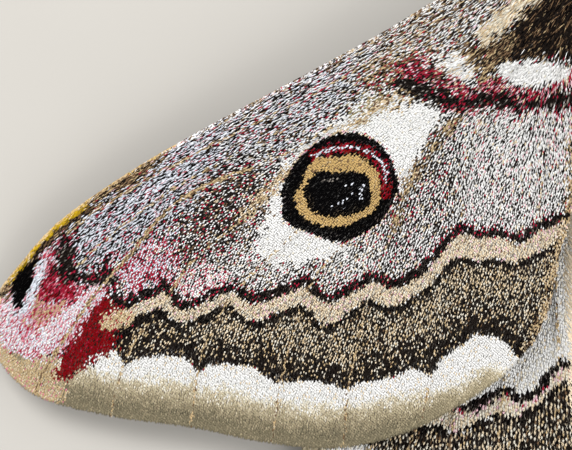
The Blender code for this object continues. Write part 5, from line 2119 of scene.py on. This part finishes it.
    def _limb_hair(self, coat: Coat, draw: np.random.Generator, line: Array, radius: Array,
                   count: int, lengths: tuple, strip: tuple) -> None:
        """Adds the hair of one limb.

        Args:
            coat: where it goes.
            draw: the random draws.
            line, radius: the limb's middle and its radius there.
            count: how many tufts.
            lengths: their lengths from hip to toe.
            strip: the limb's strip of the unwrap, and how many there are.
        """
        share = draw.uniform(0.04, 0.98, count)
        angle = draw.uniform(-math.pi, math.pi, count)
        way = unit(np.gradient(line, axis=0))
        at = (share * (len(line) - 1)).astype(int)
        aside = unit(np.cross(way[at], UP))
        up = np.cross(aside, way[at])
        normal = aside * np.sin(angle)[:, None] + up * np.cos(angle)[:, None]
        root = line[at] + normal * (radius[at] * 0.9)[:, None]
        length = np.interp(share, (0.14, 0.3, 0.6, 0.75, 1.0), lengths) * varied(draw, count, (0.7, 0.6))
        tip = root + (way[at] * 0.92 + normal * 0.3) * length[:, None]
        tip[:, 2] = np.maximum(tip[:, 2], FLOOR_CLEARANCE)
        tints = np.array([linear(*tint) for tint in self.limb_tints])
        colour = tints[draw.choice(len(tints), count, p=self.limb_parts)]
        patch = np.stack([(strip[0] + 0.05 + 0.9 * (angle / (2 * math.pi) + 0.5)) / strip[1],
                          BAKE_BORDER + (1 - 2 * BAKE_BORDER) * share], axis=1)
        coat.hairs(root, tip, normal, draw.uniform(0.05, 0.08, count), colour, patch, 0.06)

    def build_eye(self, side: str, material: Material) -> None:
        """Makes one compound eye with its own raised six-sided facets.

        Args:
            side: left or right.
            material: the finish.
        """
        bpy.ops.object.select_all(action="DESELECT")
        centre = placed(mirrored(EYE_CENTRE, side)) * MM
        bpy.ops.mesh.primitive_ico_sphere_add(subdivisions=3, radius=self.eye_radius * MM, location=centre)
        item = bpy.context.object
        item.name = item.data.name = f"eye_{side}_facets"
        bpy.ops.object.transform_apply(location=True, rotation=True, scale=True)
        with whole_mesh():
            bpy.ops.mesh.bevel(offset_type="PERCENT", offset_pct=33.3, affect="VERTICES")
            bpy.ops.mesh.select_all(action="SELECT")
            bpy.ops.mesh.inset(thickness=self.facet_rim * MM, depth=self.facet_rim * MM,
                               use_individual=True)
        dress(item, material, "eye", f"eye_{side}")

    def build_antenna(self, side: str, material: Material) -> None:
        """Makes one feeler: a ringed shaft with a comb of fine teeth on both sides.

        Args:
            side: left or right.
            material: the finish.
        """
        line = placed(smooth_line(mirrored(ANTENNA_LINE, side), self.shaft_steps))
        share = np.linspace(0, 1, self.shaft_steps)
        rings = 1 + 0.1 * np.cos(share * 2 * math.pi * self.shaft_rings)
        parts = [tube("shaft", line, np.interp(share, self.shaft_shares, self.shaft_radii) * rings, 3)]
        way = unit(np.gradient(line, axis=0))
        for step in np.linspace(0, 1, self.teeth):
            at = round((0.17 + 0.8 * step) * (self.shaft_steps - 1))
            reach = self.tooth_reach * math.sin(math.pi * (0.16 + 0.76 * step)) ** 0.7
            aside = unit(np.cross(way[at:at + 1], UP))[0]
            for edge in (-1, 1):
                heading = edge * aside * 0.85 + way[at] * 0.5 + np.array((0, 0, -0.18))
                bend = np.array([line[at] + heading * reach * t + way[at] * 0.2 * reach * t * t
                                 for t in (0, 0.35, 0.7, 1)])
                parts.append(tube("tooth", bend, self.tooth_radii, 1))
        item = joined(parts, f"antenna_{side}_comb")
        bpy.ops.object.shade_smooth_by_angle(angle=SMOOTH_ANGLE)
        dress(item, material, "horn", f"antenna_{side}")

    def build_claws(self, material: Material) -> None:
        """Makes the two small hooked claws of every foot.

        Args:
            material: the finish.
        """
        parts = []
        for side in SIDES:
            for leg in LEGS:
                line = self.leg_line(side, leg)
                way = unit(line[-1:] - line[-4])
                aside = np.cross(way, UP)
                for edge in (-1, 1):
                    hook = np.vstack([line[-1] + way * a + aside * edge * b + UP * c
                                      for a, b, c in self.claw_path])
                    parts.append(tube("claw", hook, self.claw_radii, 2))
        dress(joined(parts, "claws"), material, "horn")


@dataclass
class Studio:
    """Pale floor, soft light and the camera over the left forewing."""

    picture_width: float = 28.6
    aim: tuple = (-19.15, -14.25)
    aim_height: float = 3.0
    lens: float = 350.0
    sensor: float = 36.0
    floor_size: float = 3.0
    world: float = 1.2
    world_tint: tuple = (1.0, 0.995, 0.98, 1.0)
    key_energy: float = 3.9
    key_place: tuple = (-0.22, 0.26, 0.5)
    key_size: float = 0.28
    fill_place: tuple = (0.35, -0.25, 0.45)
    fill_size: float = 0.4

    def build(self) -> None:
        """Makes floor, lights, world and camera."""
        bpy.ops.object.select_all(action="DESELECT")
        bpy.ops.mesh.primitive_plane_add(size=self.floor_size)
        floor = bpy.context.object
        floor.name = "floor"
        floor.data.materials.append(FloorFinish().build())
        self._light("key_light", self.key_place, self.key_size, self.key_energy)
        self._light("fill_light", self.fill_place, self.fill_size, self.key_energy * 0.5)
        world = bpy.data.worlds.new("studio")
        world.use_nodes = True
        sky = world.node_tree.nodes["Background"]
        sky.inputs["Color"].default_value = self.world_tint
        sky.inputs["Strength"].default_value = self.world
        bpy.context.scene.world = world
        bpy.context.scene.view_settings.view_transform = "Standard"
        camera = bpy.data.objects.new("camera", bpy.data.cameras.new("camera"))
        camera.data.lens = self.lens
        camera.data.sensor_width = self.sensor
        away = self.picture_width * self.lens / self.sensor
        camera.location = (self.aim[0] * MM, (self.aim[1] + MIDDLE_Y) * MM, (self.aim_height + away) * MM)
        camera.data.clip_start = 0.02
        camera.data.clip_end = 10.0
        bpy.context.scene.collection.objects.link(camera)
        bpy.context.scene.camera = camera

    def _light(self, name: str, place: tuple, size: float, energy: float) -> None:
        """Adds a square light that looks at the moth.

        Args:
            name: its name.
            place: where it hangs.
            size: its side.
            energy: its power in watts.
        """
        light = bpy.data.lights.new(name, "AREA")
        light.size = size
        light.energy = energy
        item = bpy.data.objects.new(name, light)
        item.location = place
        item.rotation_euler = (-Vector(place)).to_track_quat("-Z", "Y").to_euler()
        bpy.context.scene.collection.objects.link(item)


# Rows of scales (step, across) and the scales' (length, width), finest on the wing that the camera sees
FOREWING_SCALES = {"left": ((0.113, 0.065), (0.215, 0.078)), "right": ((0.154, 0.0862), (0.287, 0.103))}
HINDWING_SCALES = ((0.157, 0.0896), (0.312, 0.109))


def main() -> None:
    """Builds the moth and its stage."""
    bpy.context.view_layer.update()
    Studio().build()
    scales, membrane = ScaleFinish().build(), SkinFinish().build()
    fore, hind = WingPlan(WingKind.FORE), WingPlan(WingKind.HIND)
    fore_pattern, hind_pattern = forewing_pattern(fore), hindwing_pattern(hind)
    for side in SIDES:
        Wing(WingKind.FORE, side, fore, fore_pattern, *FOREWING_SCALES[side]).build(scales, membrane)
        Wing(WingKind.HIND, side, hind, hind_pattern, *HINDWING_SCALES, heading=(0.3, -0.95),
             seed=60).build(scales, membrane)
    Body().build(membrane, FurFinish().build(), EyeFinish().build(), HornFinish().build())


if __name__ == "__main__":
    main()
